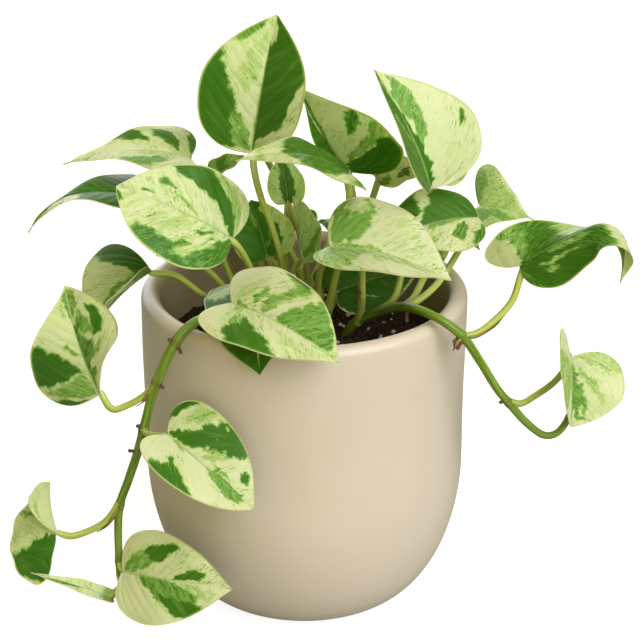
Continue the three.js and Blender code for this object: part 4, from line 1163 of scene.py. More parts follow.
def blade_material(colours, veins):
    """Marbled blade. The tone of each place comes from the piece, the ragged edges from the veins."""
    material, tree, shader = new_material(
        "marbled_blade", Subsurface_Weight=0.75, Subsurface_Scale=0.002, Subsurface_Radius=SAP_REACH,
        Specular_IOR_Level=0.17,
    )
    edge = attribute_value(tree, "edge")
    under = attribute_value(tree, "under")
    marks = use_group(tree, veins, {
        "Seed": attribute_value(tree, "seed"), "Flow": attribute_value(tree, "flow"),
        "Away": attribute_value(tree, "away"), "Out": edge,
    })
    tone = ragged_tone(tree, marks)

    def varied(mask, colour, factor):
        return mix_colour(tree, marks[mask], shaded(colour, 1.0), shaded(colour, factor))

    cream, pale, mid, dark = colours
    colour = varied("Wash", cream, 1.12)
    colour = mix_colour(tree, step_between(tree, tone, *TO_PALE), colour, varied("Fine", pale, 1.35))
    colour = mix_colour(tree, step_between(tree, tone, *TO_MID), colour, varied("Fine", mid, 1.8))
    clouds = product(tree, step_between(tree, marks["Streaks"], 0.42, 0.8), 0.6)
    deep = mix_colour(tree, clouds, varied("Wash", dark, 1.9), shaded(mid, 1.0))
    colour = mix_colour(tree, step_between(tree, tone, *TO_DARK), colour, deep)
    midrib = step_between(tree, edge, 0.034, 0.01)
    colour = mix_colour(tree, product(tree, midrib, 0.55), colour, MIDRIB_COLOUR)
    colour = mix_colour(tree, product(tree, marks["Vein"], 0.1), colour, VEIN_COLOUR)
    rim = step_between(tree, edge, 0.955, 0.985)
    colour = mix_colour(tree, product(tree, rim, 0.75), colour, MARGIN_COLOUR)
    # Underside tinted olive: partly the paler back of the blade, partly a painted glow of light through it
    colour = mix_colour(tree, under, colour, mix_colour(tree, 0.3, colour, UNDERSIDE_GLOW_COLOUR))
    tree.links.new(colour, shader.inputs["Base Color"])
    sheen = math_node(tree, "MULTIPLY_ADD", marks["Fine"], 0.16, 0.34)
    tree.links.new(math_node(tree, "MULTIPLY_ADD", under, 0.16, sheen), shader.inputs["Roughness"])
    height = math_node(tree, "MULTIPLY_ADD", marks["Vein"], -0.8, marks["Fine"])
    height = math_node(tree, "MULTIPLY_ADD", noise_at(tree, object_place(tree), 1600.0), 0.3, height)
    bump(tree, shader, height, strength=0.42, distance=0.00035)
    return material


# ---------------------------------------------------------------------------------------------------
# Planter and soil

LOWER_STEPS, WALL_ROWS, LIP_STEPS, INNER_STEPS = 40, 26, 16, 16
FOOT_MIDDLE, FOOT_ROWS = 8, 5  # radius and number of the rings of the flat foot
FOOT_EDGE = (1.2, 0.3, 0.12)  # where the foot stops short of its radius, where it turns up, and how far


def lower_body(top, foot, start, bottom, steps):
    """Quarter ellipse of the lower body, from the band down to the foot, as radius and height."""
    turn = np.linspace(0, math.pi / 2, steps + 1)
    return np.column_stack([foot + (top - foot) * np.cos(turn), start - (start - bottom) * np.sin(turn)])


def inner_radius(height):
    """Radius of the planter's inner wall at this height, in millimetres."""
    flare = (POT["radius"] - POT["band_radius"]) / (POT["height"] - POT["lip"] - POT["band_bottom"])
    return POT["band_radius"] - POT["wall"] + flare * (height - POT["band_bottom"])


def lathe(profile, sides):
    """Points and faces of a closed body turned round Z. The profile starts and ends on the axis."""
    rings = profile[1:-1]
    turn = np.linspace(0, 2 * math.pi, sides, endpoint=False)
    points = np.concatenate([
        np.column_stack([r * np.cos(turn), r * np.sin(turn), np.full(sides, z)]) for r, z in rings
    ])
    start, end = len(points), len(points) + 1
    points = np.vstack([points, [0, 0, profile[0][1]], [0, 0, profile[-1][1]]])
    faces = []
    for k in range(sides):
        n = (k + 1) % sides
        faces.append((start, n, k))
        for i in range(len(rings) - 1):
            a, b = i * sides, (i + 1) * sides
            faces.append((a + k, a + n, b + n, b + k))
        last = (len(rings) - 1) * sides
        faces.append((end, last + k, last + n))
    return points, faces


def planter_profile():
    """Half section of the planter, from the middle of its foot round the rim to the inner floor."""
    base, band, top = POT["base_radius"], POT["band_radius"], POT["height"] - POT["lip"]
    stop, ease, rise = FOOT_EDGE
    foot = [[r, 0] for r in np.linspace(FOOT_MIDDLE, base - stop, FOOT_ROWS)]
    outer = lower_body(band, base, POT["band_bottom"], 0, LOWER_STEPS)[-2::-1]
    heights = np.linspace(POT["band_bottom"], top, WALL_ROWS)[1:-1]
    share = (heights - POT["band_bottom"]) / (top - POT["band_bottom"])
    wall = np.column_stack([band + (POT["radius"] - band) * share, heights])
    turn = np.linspace(0, math.pi, LIP_STEPS + 1)
    middle = POT["radius"] - POT["lip"]
    lip = np.column_stack([middle + POT["lip"] * np.cos(turn), top + POT["lip"] * np.sin(turn)])
    inside = np.column_stack([inner_radius(heights[::-1]), heights[::-1]])
    inner = lower_body(
        band - POT["wall"], base - POT["wall"], POT["band_bottom"], POT["floor"], INNER_STEPS,
    )
    return np.vstack([[0, 0], foot, [base - ease, rise], outer, wall, lip, inside, inner, [0, POT["floor"]]])


def planter_points(settings):
    """The planter, with the slight wobble of a thrown pot on its wall and none at its foot and axis."""
    points, faces = lathe(planter_profile(), settings.sides)
    around = np.arctan2(points[:, 1], points[:, 0])
    radius = np.hypot(points[:, 0], points[:, 1])
    height = points[:, 2]
    wave = np.sin(3 * around + 0.05 * height) + 0.6 * np.sin(0.11 * height + 1 + np.sin(2 * around))
    body = smooth((height - 4) / 30) * smooth(radius / 30)
    stretch = 1 + body * wave * settings.wobble / MM / np.maximum(radius, 1)
    points[:, :2] *= stretch[:, None]
    return points * MM, faces


def soil_height(x, y):
    """The crumbly, slightly domed surface, in millimetres, as the model has it."""
    edge = inner_radius(SOIL["top"]) - SOIL["gap"]
    crumbs = np.sin(0.31 * x + 1) * np.cos(0.27 * y) + 0.6 * np.sin(0.55 * x - 0.47 * y + 2)
    dome = 1 - (x * x + y * y) / (edge * edge)
    return SOIL["top"] + SOIL["bump"] * crumbs + 2 * dome - 1


SOIL_SIDES, SOIL_RINGS, SOIL_LOWER_STEPS = 220, 64, 12
GRIT_SIZES = (2.4, 1.3, 0.8)  # widths of the unevenness on the soil
GRIT_WAVES = 7  # waves of each width, in directions drawn at random
GRIT_SEED = 11
GRIT_HEIGHT = 0.055  # height of a wave, as part of its width


def grit(x, y):
    """Fine unevenness of the soil's surface, in millimetres."""
    rng = np.random.default_rng(GRIT_SEED)
    height = np.zeros(len(x))
    for size in GRIT_SIZES:
        for _ in range(GRIT_WAVES):
            angle, phase = rng.uniform(0, 2 * math.pi), rng.uniform(0, 2 * math.pi)
            wave = 2 * math.pi / (size * rng.uniform(1.6, 3.2))
            across = x * math.cos(angle) + y * math.sin(angle)
            height += size * GRIT_HEIGHT * np.sin(wave * across + phase)
    return height


def soil_points():
    """The body of soil with its uneven surface."""
    edge = inner_radius(SOIL["top"]) - SOIL["gap"]
    bottom = POT["floor"] + SOIL["gap"]
    under = lower_body(
        POT["band_radius"] - POT["wall"] - SOIL["gap"], POT["base_radius"] - POT["wall"],
        POT["band_bottom"], bottom, SOIL_LOWER_STEPS,
    )[::-1]
    rings = [[r, SOIL["top"]] for r in np.linspace(edge, 1, SOIL_RINGS)]
    points, faces = lathe(np.vstack([[0, bottom], under, rings, [0, SOIL["top"]]]), SOIL_SIDES)
    upper = points[:, 2] > SOIL["top"] - 0.5
    x, y = points[upper, 0], points[upper, 1]
    points[upper, 2] = soil_height(x, y) + grit(x, y)
    return points * MM, faces


GRAIN_TURN = 6.28  # most that a grain is turned round each axis
GRAIN_ROUGHNESS = 1.6  # how far the noise shifts a grain's points, as part of its size


def grain_tree():
    """Grains strewn over a surface: each one a rough lump of its own size, turn and shape."""
    tree, given, out = node_group(
        "Strewn grains", "GeometryNodeTree",
        [
            ("Surface", "geometry", None), ("Density", "value", 1000.0), ("Size", "value", 0.001),
            ("Spread", "value", 0.5), ("Fineness", "count", 1), ("Sink", "value", 0.0),
            ("Seed", "count", 0), ("Material", "material", None),
        ],
        [("Grains", "geometry")],
    )
    strewn = add_node(tree, "GeometryNodeDistributePointsOnFaces", {
        "Mesh": given["Surface"], "Density": given["Density"], "Seed": given["Seed"],
    }).outputs["Points"]
    lump = add_node(tree, "GeometryNodeMeshIcoSphere", {
        "Radius": given["Size"], "Subdivisions": given["Fineness"],
    }).outputs["Mesh"]
    turn = add_node(
        tree, "FunctionNodeRandomValue",
        {"Min": (0, 0, 0), "Max": (GRAIN_TURN,) * 3, "Seed": given["Seed"]}, data_type="FLOAT_VECTOR",
    ).outputs[0]
    lowest = math_node(tree, "SUBTRACT", 1.0, given["Spread"])
    highest = math_node(tree, "ADD", 1.0, given["Spread"])
    least, most = (
        add_node(tree, "ShaderNodeCombineXYZ", dict.fromkeys(range(3), factor)).outputs[0]
        for factor in (lowest, highest)
    )
    size = add_node(
        tree, "FunctionNodeRandomValue",
        {0: least, 1: most, "Seed": math_node(tree, "ADD", given["Seed"], 5)}, data_type="FLOAT_VECTOR",
    ).outputs[0]
    grains = add_node(tree, "GeometryNodeInstanceOnPoints", {
        "Points": strewn, "Instance": lump, "Rotation": turn, "Scale": size,
    }).outputs[0]
    real = add_node(tree, "GeometryNodeRealizeInstances", {0: grains}).outputs[0]
    place = add_node(tree, "GeometryNodeInputPosition").outputs[0]
    noise = add_node(tree, "ShaderNodeTexNoise", {"Vector": place, "Scale": 900.0, "Detail": 1.0})
    centred = vector_node(tree, "SUBTRACT", noise.outputs["Color"], (0.5, 0.5, 0.5))[0]
    shove = scaled_vector(tree, centred, product(tree, given["Size"], GRAIN_ROUGHNESS))
    sunk = add_node(tree, "ShaderNodeCombineXYZ", {2: given["Sink"]}).outputs[0]
    offset = vector_node(tree, "ADD", shove, sunk)[0]
    moved = add_node(tree, "GeometryNodeSetPosition", {"Geometry": real, "Offset": offset}).outputs[0]
    coloured = add_node(tree, "GeometryNodeSetMaterial", {"Geometry": moved, "Material": given["Material"]})
    tree.links.new(coloured.outputs[0], out["Grains"])
    return tree


def with_nodes(piece, tree, values):
    """Runs a Geometry Nodes tree on the piece with these inputs and leaves its plain mesh."""
    modifier = piece.modifiers.new(tree.name, "NODES")
    modifier.node_group = tree
    for item in tree.interface.items_tree:
        if item.item_type == "SOCKET" and item.in_out == "INPUT" and item.name in values:
            modifier[item.identifier] = values[item.name]
    return applied(piece)


STREWN_SIDES, STREWN_RINGS = 64, 34  # faces of the disc that the grains are strewn on
STREWN_MARGIN = 2.5  # how far the disc stays away from the planter's wall


def strewn_piece(name, tree, radius, values):
    """Grains on a disc of soil of this radius, in millimetres."""
    count = STREWN_SIDES
    rings = np.linspace(0.5, radius, STREWN_RINGS)
    turn = np.linspace(0, 2 * math.pi, count, endpoint=False)
    x = (rings[:, None] * np.cos(turn)).ravel()
    y = (rings[:, None] * np.sin(turn)).ravel()
    points = np.column_stack([x, y, soil_height(x, y)]) * MM
    faces = [
        (i * count + k, (i + 1) * count + k, (i + 1) * count + (k + 1) % count, i * count + (k + 1) % count)
        for i in range(len(rings) - 1) for k in range(count)
    ]
    piece = with_nodes(mesh_piece(name, points, faces, values["Material"]), tree, values)
    piece.data.shade_flat()
    return piece


# ---------------------------------------------------------------------------------------------------
# Stems

STALK_RADIUS = 1.4
KNOTS = (0.16, 2.2), (0.05, 0.8)  # swellings at a node: how much thicker, and how far they reach
SCAR_PLACE, SCAR_WIDTH = 2.4, 0.35  # distance of a brown ring from its node, and its width
STUB_DROOP = 0.5
STALK_OVERRUN = (1.1, 0.55)  # how far a stalk runs on past the junction, forward and below the blade
VINE_SPACING, STALK_SPACING, STUB_SPACING = 1.0, 0.9, 0.5
VINE_TIP = (0.9, 0.7, 0.4)  # the last radii of a vine and of a stalk, as parts of what they would be
STALK_TIP = (0.98, 0.93, 0.82, 0.6)
VINE, STALK, STUB = range(3)


def stem_tree():
    """A stem along each spline of a curve, as thick as the points say, with ridges along it."""
    tree, given, out = node_group(
        "Ridged stem", "GeometryNodeTree",
        [
            ("Routes", "geometry", None), ("Sides", "count", 20), ("Ridge", "value", 0.0002),
            ("Material", "material", None),
        ],
        [("Stem", "geometry")],
    )

    def captured(geometry, name, output):
        """The curve with its place along itself kept, and that place."""
        place = add_node(tree, "GeometryNodeSplineParameter").outputs[output]
        node = tree.nodes.new("GeometryNodeCaptureAttribute")
        node.capture_items.new("FLOAT", name)
        tree.links.new(geometry, node.inputs[0])
        tree.links.new(place, node.inputs[1])
        return node.outputs[0], node.outputs[1]

    routes, along = captured(given["Routes"], "along", "Length")
    circle = add_node(tree, "GeometryNodeCurvePrimitiveCircle", {
        "Resolution": given["Sides"], "Radius": 1.0,
    }).outputs[0]
    profile, around = captured(circle, "around", "Factor")
    tube = add_node(tree, "GeometryNodeCurveToMesh", {
        "Curve": routes, "Profile Curve": profile,
        "Scale": add_node(tree, "GeometryNodeInputRadius").outputs[0], "Fill Caps": True,
    }).outputs[0]
    place = tube_place(tree, product(tree, around, 2 * math.pi), along, 1.3, 22.0)
    noise = math_node(tree, "SUBTRACT", noise_at(tree, place, 1.6), 0.5)
    height = product(tree, product(tree, noise, given["Ridge"]), 2.0)
    normal = add_node(tree, "GeometryNodeInputNormal").outputs[0]
    offset = scaled_vector(tree, normal, height)
    stem = add_node(tree, "GeometryNodeSetPosition", {"Geometry": tube, "Offset": offset}).outputs[0]
    for name, value in (("along", along), ("around", around)):
        stem = add_node(
            tree, "GeometryNodeStoreNamedAttribute", {"Geometry": stem, "Name": name, "Value": value},
            data_type="FLOAT", domain="POINT",
        ).outputs[0]
    real = add_node(tree, "GeometryNodeRealizeInstances", {0: stem}).outputs[0]
    coloured = add_node(tree, "GeometryNodeSetMaterial", {"Geometry": real, "Material": given["Material"]})
    tree.links.new(coloured.outputs[0], out["Stem"])
    return tree


def vine_route(stem):
    """The thick stem itself, thinner towards its growing end and swollen at its nodes."""
    route = catmull_rom(stem["path"], VINE_SPACING)
    u = np.linspace(0, 1, len(route))
    radii = stem["radius"] * (1 - 0.3 * u * u)
    for at in stem.get("nodes", ()):
        far = np.linalg.norm(route - np.array(at, float), axis=1)
        wide, narrow = (more * np.exp(-(far / spread) ** 2) for more, spread in KNOTS)
        radii *= 1 + wide + narrow
    radii[-len(VINE_TIP):] *= VINE_TIP
    return route, radii, VINE


def stalk_route(leaf, via):
    """A leaf stalk, a little thicker at both ends, that runs on under its blade's midrib."""
    axes = blade_axes(leaf)
    forward, below = STALK_OVERRUN
    merge = axes["base"] + forward * axes["along"] - below * axes["up"]
    route = catmull_rom([*via, merge], STALK_SPACING)
    u = np.linspace(0, 1, len(route))
    radii = STALK_RADIUS * (1 + 0.4 * np.exp(-u / 0.07) + 0.12 * np.exp((u - 1) / 0.06))
    radii[-len(STALK_TIP):] *= STALK_TIP
    return route, radii, STALK


def stub_route(start, end):
    """A short dry root at a node."""
    start, end = np.array(start, float), np.array(end, float)
    droop = np.array([0, 0, -STUB_DROOP])
    route = catmull_rom([start, (start + end) / 2, end + droop], STUB_SPACING)
    u = np.linspace(0, 1, len(route))
    radii = 1.1 - 0.5 * u + 0.16 * np.sin(9 * u)
    radii[-1] *= 0.4
    return route, radii, STUB


def stem_routes(stem):
    """Every route of a leafy stem: its dense points and radii in millimetres, and its kind."""
    return [
        vine_route(stem),
        *(stalk_route(full_leaf(name), via) for name, via in stem["stalks"].items()),
        *(stub_route(*ends) for ends in stem.get("stubs", ())),
    ]


def stem_piece(name, stem, tree, settings, material):
    """One leafy stem. Its points carry what its finish reads: stalk, pale near a blade, and brown."""
    routes = stem_routes(stem)
    curve = bpy.data.curves.new(name, "CURVE")
    curve.dimensions = "3D"
    for points, radii, _ in routes:
        spline = curve.splines.new("POLY")
        spline.points.add(len(points) - 1)
        spline.points.foreach_set("co", np.column_stack([points * MM, np.ones(len(points))]).ravel())
        spline.points.foreach_set("radius", radii * MM)
    piece = with_nodes(
        link_object(name, curve), tree,
        {"Sides": settings.sides, "Ridge": settings.ridge, "Material": material},
    )
    mesh = piece.data
    mesh.shade_smooth()
    count = sum(len(points) for points, _, _ in routes) * settings.sides
    if len(mesh.vertices) != count:
        raise RuntimeError(f"{name}: {len(mesh.vertices)} points, and its routes have {count}")
    kinds = np.concatenate([np.full(len(points) * settings.sides, kind) for points, _, kind in routes])
    share = np.concatenate([
        np.repeat(np.linspace(0, 1, len(points)), settings.sides) for points, _, _ in routes
    ])
    brown = np.where(kinds == STUB, 1.0, 0.0)
    if stem.get("dry"):
        place = np.array([v.co for v in mesh.vertices]) / MM
        for at in stem["nodes"]:
            far = np.linalg.norm(place - np.array(at, float), axis=1)
            ring = np.exp(-((far - SCAR_PLACE) / SCAR_WIDTH) ** 2)
            brown = np.maximum(brown, 0.5 * ring * (kinds == VINE))
    point_attribute(mesh, "stalk", np.where(kinds == VINE, 0.0, 1.0))
    point_attribute(mesh, "pale", np.where(kinds == STALK, smooth((share - 0.8) / 0.2) * 0.6, 0.0))
    point_attribute(mesh, "brown", brown)
    return piece


SHEATH_COLUMNS, SHEATH_SPACING, SHEATH_THICKNESS = 15, 0.8, 0.22


def sheath_piece(name, route, radius, open_turn, material):
    """A dry sheath: a thin half-closed tube along a stalk's foot, drawn out to a point."""
    points = catmull_rom(route, SHEATH_SPACING)
    tangents = unit(np.gradient(points, axis=0))
    side = unit(np.cross(tangents, [0.2, 0.1, 1.0]))
    upward = np.cross(side, tangents)
    rows, columns = len(points), SHEATH_COLUMNS
    u = np.linspace(0, 1, rows)
    skins = []
    for grow in (0.0, SHEATH_THICKNESS):
        rings = []
        for k in range(columns):
            swing = (k / (columns - 1) - 0.5) * 2 * open_turn * (1 - smooth((u - 0.35) / 0.65))
            r = radius + grow + 0.35 * u + 0.12 * np.sin(11 * u + 2 * k)
            rings.append(points + side * (r * np.sin(swing))[:, None] - upward * (r * np.cos(swing))[:, None])
        skins.append(np.stack(rings, axis=1))
    grid = np.concatenate([skin.reshape(-1, 3) for skin in skins])
    size = rows * columns
    faces = []
    for i in range(rows - 1):
        for k in range(columns - 1):
            a, d = i * columns + k, (i + 1) * columns + k
            b, c = a + 1, d + 1
            faces += [(a, b, c, d), (a + size, d + size, c + size, b + size)]
    rim = [(0, k) for k in range(columns)] + [(i, columns - 1) for i in range(1, rows)]
    rim += [(rows - 1, k) for k in range(columns - 2, -1, -1)] + [(i, 0) for i in range(rows - 2, 0, -1)]
    ids = [i * columns + k for i, k in rim]
    for p, q in zip(ids, ids[1:] + ids[:1]):
        faces.append((q, p, p + size, q + size))
    piece = mesh_piece(name, grid * MM, faces, material)
    point_attribute(piece.data, "along", np.tile(np.repeat(u, columns), 2))
    outward_faces(piece)
    return piece


# ---------------------------------------------------------------------------------------------------
# Blades

LEAF_DEFAULTS = dict(
    hook=0, hook_span=(0.35, 1.05), twist=0, twist_from=0, wave=0.7, waves=2.2, lobe=0.1, taper=0.35,
)
MIDRIB_STEPS = 120
MIDRIB_CROWDING = 1.35  # above 1, a blade's faces are narrower near the midrib
CREASE = 0.9  # how far from the midrib the fold is rounded off, in millimetres
VEIN_LEAN = (0.7, 0.8)  # how a side vein runs forward as it leaves the midrib, as a bent line
SIDE_REACH = 0.45  # half a blade's width, as part of its length
EDGE_SOFTNESS = 0.022  # width of a patch's soft edge, as part of the blade's length
GROOVE = (0.36, 0.7)  # depth and half width of the groove along the midrib
KEEL = (0.75, 0.8)  # height and half width of the midrib under the blade


def full_leaf(name):
    """A blade's values with the defaults filled in, and a pair where its two halves may differ."""
    leaf = {**LEAF_DEFAULTS, **LEAVES[name]}
    for key in ("width", "taper", "lobe", "fold"):
        if not isinstance(leaf[key], tuple):
            leaf[key] = (leaf[key], leaf[key])
    leaf.setdefault("fold_tip", leaf["fold"])
    return leaf


def blade_axes(leaf):
    """Where a blade starts, its three directions and the distance from its junction to its tip."""
    base, tip = np.array(leaf["base"], float), np.array(leaf["tip"], float)
    chord = np.linalg.norm(tip - base)
    along = (tip - base) / chord
    azimuth, elevation = np.radians(leaf["face"])
    up = np.array([math.cos(azimuth), math.sin(azimuth), math.tan(elevation)])
    up -= along * (up @ along)
    up /= np.linalg.norm(up)
    return dict(base=base, along=along, left=np.cross(up, along), up=up, chord=chord)


def margin(s, lobe, taper):
    """Outline of a heart-shaped blade, as parts of its length and half width."""
    turn = math.pi * s
    lobes = np.sin(turn) * np.cos(turn / 2) ** 6 / 0.443
    along = (1 - np.cos(turn)) / 2 - lobe * lobes
    left = np.maximum(0, 1 - along)
    across = (1.02 + 0.4 * taper) * np.sin(turn) * left ** taper * (1 - 0.42 * np.exp(-left / 0.09))
    return along, across


def midrib(leaf, chord):
    """The midrib in its own plane: distance along the chord, height over it and slope, for u."""
    start, end = leaf["hook_span"]

    def angle(u):
        hooked = smooth((u - start) / (end - start))
        return -math.radians(leaf["arch"]) * u - math.radians(leaf["hook"]) * hooked

    middle = angle((np.arange(MIDRIB_STEPS) + 0.5) / MIDRIB_STEPS)
    steps = np.column_stack([np.cos(middle), np.sin(middle)]) / MIDRIB_STEPS
    walk = np.vstack([[0, 0], np.cumsum(steps, axis=0)])
    scale = chord / np.hypot(*walk[-1])
    tilt = -math.atan2(walk[-1][1], walk[-1][0])

    def at(u):
        ticks = np.arange(MIDRIB_STEPS + 1) / MIDRIB_STEPS
        x = np.where(u > 0, np.interp(u, ticks, walk[:, 0]), u * np.cos(angle(u / 2)))
        z = np.where(u > 0, np.interp(u, ticks, walk[:, 1]), u * np.sin(angle(u / 2)))
        turned_x = scale * (x * math.cos(tilt) - z * math.sin(tilt))
        turned_z = scale * (x * math.sin(tilt) + z * math.cos(tilt))
        return turned_x, turned_z, angle(u) + tilt

    return at


def blade_surface(leaf, s, side):
    """Points of the blade's middle surface in millimetres. side is signed: left is positive."""
    axes = blade_axes(leaf)
    left = side >= 0
    t = np.abs(side)

    def half_value(key):
        return np.where(left, leaf[key][0], leaf[key][1])

    edge_along, edge_across = margin(s, half_value("lobe"), half_value("taper"))
    start = s ** 1.7
    along = start + t * (edge_along - start)
    reach = t * edge_across * half_value("width") / 2
    x, z, slope = midrib(leaf, axes["chord"])(along)
    fold = np.radians(
        half_value("fold") + (half_value("fold_tip") - half_value("fold")) * np.maximum(0, along)
    )
    bend = math.radians(leaf["curl"] or 0.01) / (half_value("width") / 2)
    out = (np.sin(fold + bend * reach) - np.sin(fold)) / bend
    up = (np.cos(fold) - np.cos(fold + bend * reach)) / bend
    rounded = CREASE * (1 - np.exp(-reach / CREASE))
    out = out + (1 - np.cos(fold)) * rounded
    up = up - np.sin(fold) * rounded
    up = up + leaf["wave"] * np.sin(2 * math.pi * leaf["waves"] * along + np.where(left, 0, 2)) * t * t
    roll = np.radians(leaf["twist"]) * smooth((along - leaf["twist_from"]) / (1 - leaf["twist_from"]))
    sideways = np.where(left, out, -out)
    across3 = sideways * np.cos(roll) - up * np.sin(roll)
    up3 = sideways * np.sin(roll) + up * np.cos(roll)
    points = (
        axes["base"] + np.multiply.outer(x - up3 * np.sin(slope), axes["along"])
        + np.multiply.outer(across3, axes["left"]) + np.multiply.outer(z + up3 * np.cos(slope), axes["up"])
    )
    return points, along, reach


def vein_flow(along, away):
    """A number that stays the same along each side vein. Behind the first veins they fan out."""
    lead = along - VEIN_LEAN[0] * away - VEIN_LEAN[1] * away ** 2
    return np.where(lead > 0, lead, 0.4 * lead / (np.hypot(along, away) + 0.02))


def inside_outline(s, side, outline):
    """How far each place is inside an outline, as part of the blade's length; outside is negative."""
    corners = np.array(outline, float) * (SIDE_REACH, 1)
    place = np.stack([side * SIDE_REACH, s], axis=-1)
    near = np.full(s.shape, np.inf)
    within = np.zeros(s.shape, bool)
    for a, b in zip(corners, np.roll(corners, -1, axis=0)):
        edge = b - a
        share = np.clip((place - a) @ edge / (edge @ edge), 0, 1)
        near = np.minimum(near, np.linalg.norm(place - a - share[..., None] * edge, axis=-1))
        if a[1] != b[1]:
            spans = (place[..., 1] < a[1]) != (place[..., 1] < b[1])
            crossing = a[0] + (place[..., 1] - a[1]) / (b[1] - a[1]) * (b[0] - a[0])
            within ^= spans & (place[..., 0] < crossing)
    return np.where(within, near, -near)


def tone_at(name, s, side):
    """The marbling's tone at each place of the blade. The patches' outlines wander a little."""
    ground, *patches = MARBLING[name]
    tone = np.full(s.shape, float(ground))
    for k, (value, *outline) in enumerate(patches):
        wander = 0.008 * np.sin(21 * side + 5 * s + 1.7 * k) + 0.006 * np.sin(47 * side - 9 * s + 2.9 * k)
        stray = np.minimum(1, 8 * np.abs(side)) * (
            0.03 * np.sin(37 * s + 3 * side + 2.3 * k) + 0.02 * np.sin(83 * s + 1.1 * k)
        )
        depth = inside_outline(s + wander, side + stray, outline)
        tone += (value - tone) * smooth(0.5 + depth / EDGE_SOFTNESS)
    return tone


def upper_normals(middle, up):
    """Normals of the upper side, and whether the grid's own turn gives them. Both end rows are points."""
    rows, columns = middle.shape[:2]
    normal = np.cross(np.gradient(middle, axis=1), np.gradient(middle, axis=0))
    normal = normal / np.maximum(np.linalg.norm(normal, axis=2, keepdims=True), 1e-9)
    normal[0], normal[-1] = normal[1, columns // 2], normal[-2, columns // 2]
    upward = normal[(rows - 1) // 2, columns // 2] @ up > 0
    return (normal if upward else -normal), upward


def blade_skins(settings, middle, normal, t, along, reach, flow):
    """Upper and lower side: quilted between the side veins, with a groove and a keel at the midrib."""
    slim = np.clip(1 - along, 0, 1)
    veins = np.abs(np.sin(SIDE_VEINS * math.pi * flow))
    quilt = settings.quilting / MM * (veins ** 0.7 - 0.5) * smooth(reach / 3) * smooth((1 - t) / 0.25)
    groove = -GROOVE[0] * np.exp(-(reach / GROOVE[1]) ** 2) * slim ** 0.5
    keel = KEEL[0] * np.exp(-(reach / KEEL[1]) ** 2) * slim ** 0.7
    half = settings.thickness / MM / 2 * (1 - 0.5 * smooth((t - 0.9) / 0.1))
    return (
        middle + normal * (half + quilt + groove)[..., None],
        middle + normal * (-half + quilt - keel)[..., None],
    )


def blade_faces(s, side, upward):
    """Faces of both sides and of the strips that join them, their map places, and the points used."""
    rows, columns = len(s), len(side)
    index = np.arange(rows * columns).reshape(rows, columns)
    index[0], index[-1] = index[0, 0], index[-1, 0]
    faces, places = [], []

    def add_face(corners, turned):
        ids, at = [], []
        for i, j, lower in corners:
            k = int(index[i, j]) + lower * index.size
            if k not in ids:
                ids.append(k)
                at.append((0.5 + 0.5 * side[j], s[i]))
        faces.append(ids[::-1] if turned else ids)
        places.extend(at[::-1] if turned else at)

    for i in range(rows - 1):
        for j in range(columns - 1):
            for lower in (False, True):
                corners = [(i, j, lower), (i, j + 1, lower), (i + 1, j + 1, lower), (i + 1, j, lower)]
                add_face(corners, lower == upward)
    for j in (0, columns - 1):
        for i in range(rows - 1):
            corners = [(i, j, False), (i + 1, j, False), (i + 1, j, True), (i, j, True)]
            add_face(corners, (j == 0) == upward)

    used = np.unique(np.concatenate([index.ravel(), index.ravel() + index.size]))
    renumber = np.full(2 * index.size, -1)
    renumber[used] = np.arange(len(used))
    return [[int(renumber[k]) for k in face] for face in faces], places, used


def blade_piece(name, settings, material, seed):
    """A thin closed blade with its own map and, on its points, what its finish reads."""
    leaf = full_leaf(name)
    axes = blade_axes(leaf)
    side = np.linspace(-1, 1, 2 * settings.spans + 1)
    side = np.sign(side) * np.abs(side) ** MIDRIB_CROWDING
    s = np.linspace(0, 1, settings.rows + 1)
    grid_s, grid_side = np.meshgrid(s, side, indexing="ij")
    t = np.abs(grid_side)
    middle, along, reach = blade_surface(leaf, grid_s, grid_side)
    normal, upward = upper_normals(middle, axes["up"])
    away = reach / axes["chord"]
    flow = vein_flow(along, away)
    skins = blade_skins(settings, middle, normal, t, along, reach, flow)
    faces, places, used = blade_faces(s, side, upward)
    points = np.concatenate([skin.reshape(-1, 3) for skin in skins])[used]
    piece = mesh_piece(f"blade_{name}", points * MM, faces, material)
    mesh = piece.data
    layer = mesh.uv_layers.new(name="blade")
    layer.data.foreach_set("uv", np.array(places, np.float32).ravel())
    for key, values in (
        ("tone", tone_at(name, grid_s, grid_side)), ("flow", flow), ("away", away * np.sign(grid_side)),
        ("edge", t),
    ):
        point_attribute(mesh, key, np.tile(values.ravel(), 2)[used])
    point_attribute(mesh, "under", (used >= grid_s.size).astype(float))
    point_attribute(mesh, "seed", np.full(len(used), float(seed)))
    return piece


# ---------------------------------------------------------------------------------------------------
# Operators

class OBJECT_OT_pothos_planter(Operator):
    """Make the ceramic planter"""
    bl_idname = "pothos.planter"
    bl_label = "Planter"

    def execute(self, context):
        settings = context.scene.pothos_planter
        material = glaze_material(tuple(settings.glaze), speckle_group())
        piece = mesh_piece("ceramic_planter", *planter_points(settings), material)
        outward_faces(piece)
        keep_piece(piece, "ceramic", "planter")
        return {"FINISHED"}


